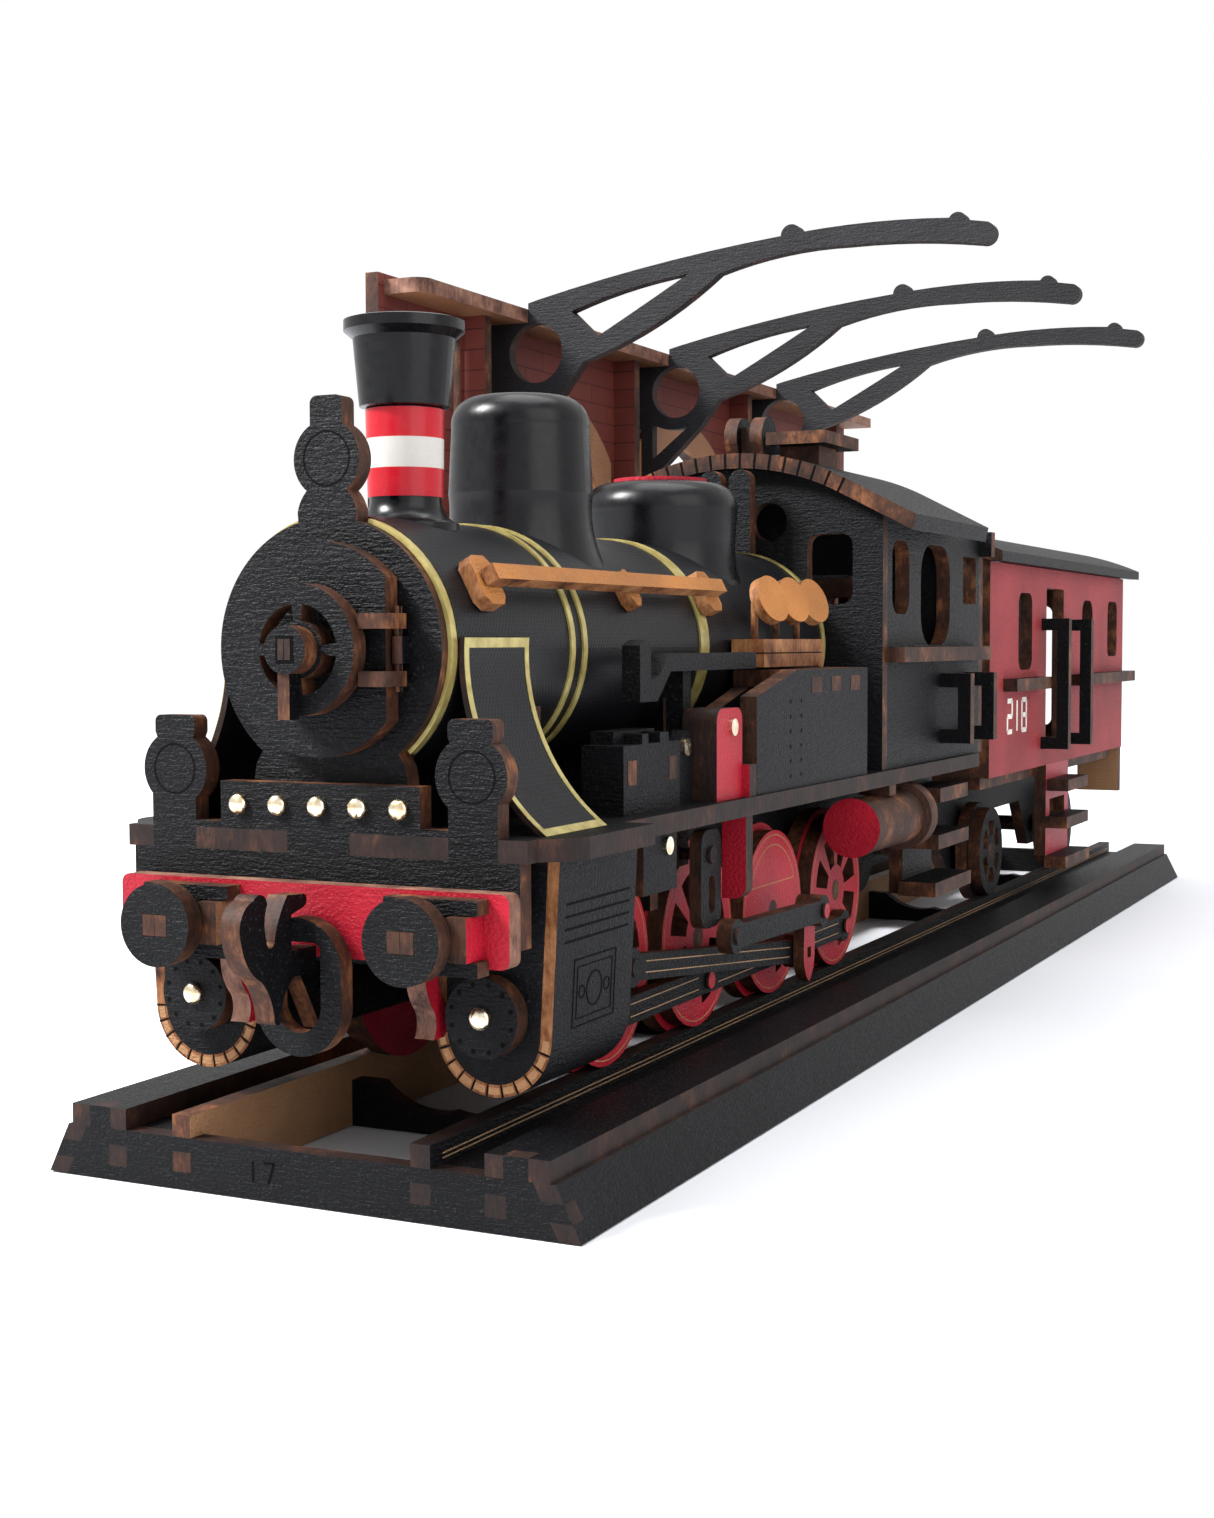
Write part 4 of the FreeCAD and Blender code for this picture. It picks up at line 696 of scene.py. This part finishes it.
def build_gold_borders():
    """Gold round the side sheets: a strip down each upright border and one at the top and bottom."""
    border, front, rear, share = 1.1, 11.3, 28.3, 0.045
    gold_strip = Inlay()
    for side in (-1, 1):
        uprights = [(0.0, 1.0, y, border) for y in (front, rear - border)]
        inner_width = rear - front - 2 * border
        crossings = [(begin, begin + share, front + border, inner_width) for begin in (0.0, 1.0 - share)]
        for begin, end, y, width in uprights + crossings:
            path = [((x, y, z), (nx, 0, nz)) for x, z, nx, nz in skirt_line(side, begin, end)]
            gold_strip.ribbon(path, (0, 1, 0), width, GOLD_DEPTH)
    gold_strip.build("skirt_borders", "gold", "display_model")


def build_side_details():
    marks, tabs = Inlay(), Inlay()
    for side in (-1, 1):
        for column in (98.0, 103.0):
            for row in range(6):
                marks.ring("x", side * TANK_FACE, column, 48.4 + row * 2.4, 0.36, 0.0, side * LINE_DEPTH,
                           steps=10)
        tank_tabs = [(TANK_FACE, y, 61.6, 5.0, 2.6) for y in (108.0, 118.0, 128.0)]
        pump_tabs = [(26.0, y, 50.4, PLY, 3.4) for y in (42.2, 56.2)]
        for x, y, z, long, high in tank_tabs + pump_tabs:
            outline = [(y, z), (y + long, z), (y + long, z + high), (y, z + high)]
            tabs.slab("x", side * x, outline, side * END_DEPTH)
    marks.build("tank_rivets", "hole", "display_model")
    tabs.build("board_tabs", "burnt", "display_model")

    rail = Inlay()
    for z in (8.0, 7.4):
        rail.bar("x", 19.2, (3.0, z), (397.0, z), 0.18, LINE_DEPTH)
    rail.build("rail_lines", "tan_line", "display_model")

    white = Inlay()
    number(white, "x", 28.4, "218", 240.0, 49.5, 7.0, 1.1, END_DEPTH)
    number(white, "x", -28.4, "218", 258.0, 49.5, 7.0, 1.1, -END_DEPTH, -1)
    white.build("carriage_number", "white", "display_model")


def build_wheel_lines():
    """Lines engraved on the faces of the driving wheels."""
    for index in range(4):
        y, z = FIRST_AXLE + AXLE_PITCH * index, AXLE_Z
        lines = Inlay()
        for side in (-1, 1):
            face, depth = side * WHEEL_FACE, side * LINE_DEPTH
            lines.ring("x", face, y, z, 13.3, 13.12, depth)
            if index == 2:
                lines.ring("x", face, y, z, 11.6, 11.4, depth, 25, 155, 30)
                lines.bar("x", face, (y - 10.4, z + 4.9), (y + 10.4, z + 4.9), 0.2, depth)
        lines.build("wheel_lines_%d" % (index + 1), "pale_core", "wheelset_%d" % (index + 1))


def build_base_number():
    """A plain part number burnt into the front end of the track."""
    burn = Inlay()
    low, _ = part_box("base_end_plates")
    level = (low.y - ORIGIN.y) / MM
    number(burn, "y", level, "17", -7.5, 2.2, 2.6, 0.3, -0.04)
    burn.build("base_number", "hole", "display_model")


def build_gauge_rings():
    """Engraved circles and a pointer on the leaning gauges."""
    rings = Inlay()
    for side in (-1, 1):
        yaw = Matrix.Rotation(math.radians(-side * GAUGE_YAW), 4, "Z")
        turn = yaw @ Matrix.Rotation(math.radians(-side * GAUGE_LEAN), 4, "Y")
        face, depth = side * 0.9, side * 0.04
        for y in (105.0, 115.0, 125.0):
            disc = Inlay()
            disc.ring("x", face, 0, 0, 2.9, 2.7, depth, steps=32)
            disc.ring("x", face, 0, 0, 0.7, 0.5, depth, steps=16)
            disc.bar("x", face, (0, 0.7), (1.2, 2.2), 0.22, depth)
            place = Vector((side * 22.6, y, 76.6))
            rings.take(disc, lambda point: tuple(turn @ Vector(point) + place))
    rings.build("gauge_rings", "brown", "display_model")


def build_rod_details():
    """Tan outlines engraved on the rods, stopping short of their pins."""
    coupling, main = Inlay(), Inlay()
    clear, line_width = 4.0, 0.16
    for side in (-1, 1):
        for index in range(3):
            start = CRANK_PIN_Y + AXLE_PITCH * index + clear
            end = CRANK_PIN_Y + AXLE_PITCH * (index + 1) - clear
            for z in (CRANK_PIN_Z - 0.9, CRANK_PIN_Z + 0.9):
                coupling.bar("x", side * 21.6, (start, z), (end, z), line_width, side * LINE_DEPTH)
    coupling.build("coupling_rod_lines", "tan_line", "coupling_rods")

    big = Vector((CRANK_PIN_Y + 2 * AXLE_PITCH, CRANK_PIN_Z))
    small = Vector((47.8, 24.4))
    length = (big - small).length
    along = (big - small) / length
    sideways = Vector((-along.y, along.x))
    for side in (-1, 1):
        for across in (-0.8, 0.8):
            start, end = (small + along * t + sideways * across for t in (clear, length - clear))
            main.bar("x", side * 24.3, start, end, line_width, side * LINE_DEPTH)
    main.build("main_rod_lines", "tan_line", "main_rods")


def build_roof_kerfs():
    """Segments of the roof's front edge, where the sheet is cut to bend."""
    segments, first, turn = 15, 62.8, 3.64
    front = (min(vertex.co.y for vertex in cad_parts["cab_roof"].data.vertices) - ORIGIN.y) / MM
    strips, gap_shade = Inlay(), Inlay()
    for index in range(segments):
        start = first + index * turn
        strips.ring("y", front, 0, ROOF_CENTRE_Z, ROOF_RADIUS - 0.4, ROOF_RADIUS - 2.4, -END_DEPTH,
                    start + 0.3, start + 3.3, 2)
    strips.build("roof_edge_segments", "burnt", "display_model")
    # The cuts between the segments are dark strips: painted shade in the gaps.
    for index in range(segments + 1):
        start = first + index * turn
        gap_shade.ring("y", front, 0, ROOF_CENTRE_Z, ROOF_RADIUS, ROOF_RADIUS - PLY, -0.06,
                  start - 0.25, start + 0.25, 1)
    gap_shade.build("roof_edge_kerfs", "hole", "display_model")


def build_details():
    build_front_details()
    build_cylinder_details()
    build_gold_borders()
    build_side_details()
    build_wheel_lines()
    build_base_number()
    build_gauge_rings()
    build_rod_details()
    build_roof_kerfs()


# ---------------------------------------------------------------- floor, light and camera

def build_stage():
    bpy.ops.mesh.primitive_plane_add(size=12, location=(0, 0, -0.0002))
    floor = bpy.context.object
    floor.name = "floor"
    s = Shader("studio_floor")
    # The floor glows more the further it lies from its middle: painted light that lifts the far floor to the
    # white of the backdrop.
    away = s.add("ShaderNodeVectorMath", operation="LENGTH")
    s.link(s.place, away.inputs[0])
    s.surface.inputs["Emission Color"].default_value = (1, 1, 1, 1)
    s.link(s.grey(away.outputs["Value"], 0.4, 1.5, 0.0, 0.38), s.surface.inputs["Emission Strength"])
    s.finish(s.mix(s.noise(3.0), (0.66, 0.67, 0.705), (0.68, 0.69, 0.72)), 0.9, shine=0.0)
    floor.data.materials.append(s.material)

    world = bpy.data.worlds.new("studio")
    world.use_nodes = True
    world.node_tree.nodes["Background"].inputs["Color"].default_value = (1.0, 1.0, 1.0, 1)
    world.node_tree.nodes["Background"].inputs["Strength"].default_value = 1.0
    bpy.context.scene.world = world

    def area(name, place, target, size, power):
        data = bpy.data.lights.new(name, "AREA")
        data.shape = "RECTANGLE"
        data.size, data.size_y = size
        data.energy = power
        lamp = bpy.data.objects.new(name, data)
        bpy.context.scene.collection.objects.link(lamp)
        lamp.location = place
        lamp.rotation_euler = (target - place).to_track_quat("-Z", "Y").to_euler()

    middle = at(0, 120, 60)
    area("key_light", at(-700, -500, 900), middle, (0.35, 0.35), 38)
    area("fill_light", at(900, -300, 500), middle, (0.9, 0.9), 5)
    area("top_light", at(0, 200, 1100), middle, (0.8, 0.8), 9)


def build_camera():
    data = bpy.data.cameras.new("photo_camera")
    data.lens = 47.28
    data.sensor_width = 36
    data.clip_start = 0.01
    camera = bpy.data.objects.new("photo_camera", data)
    bpy.context.scene.collection.objects.link(camera)
    camera.location = at(140.8, -204.5, 70.0)
    yaw, pitch, roll = (math.radians(angle) for angle in (25.556, 3.340, -0.189))
    ahead = Vector((-math.sin(yaw) * math.cos(pitch), math.cos(yaw) * math.cos(pitch), -math.sin(pitch)))
    turn = ahead.to_track_quat("-Z", "Y").to_matrix().to_4x4()
    camera.matrix_world = Matrix.Translation(camera.location) @ turn @ Matrix.Rotation(roll, 4, "Z")
    bpy.context.scene.camera = camera


MATERIALS = make_materials()
dress_track_and_station()
dress_locomotive()
dress_carriage()
all_over("brass_nails", "brass")
build_details()
build_stage()
build_camera()
bpy.context.scene.view_settings.view_transform = "Standard"
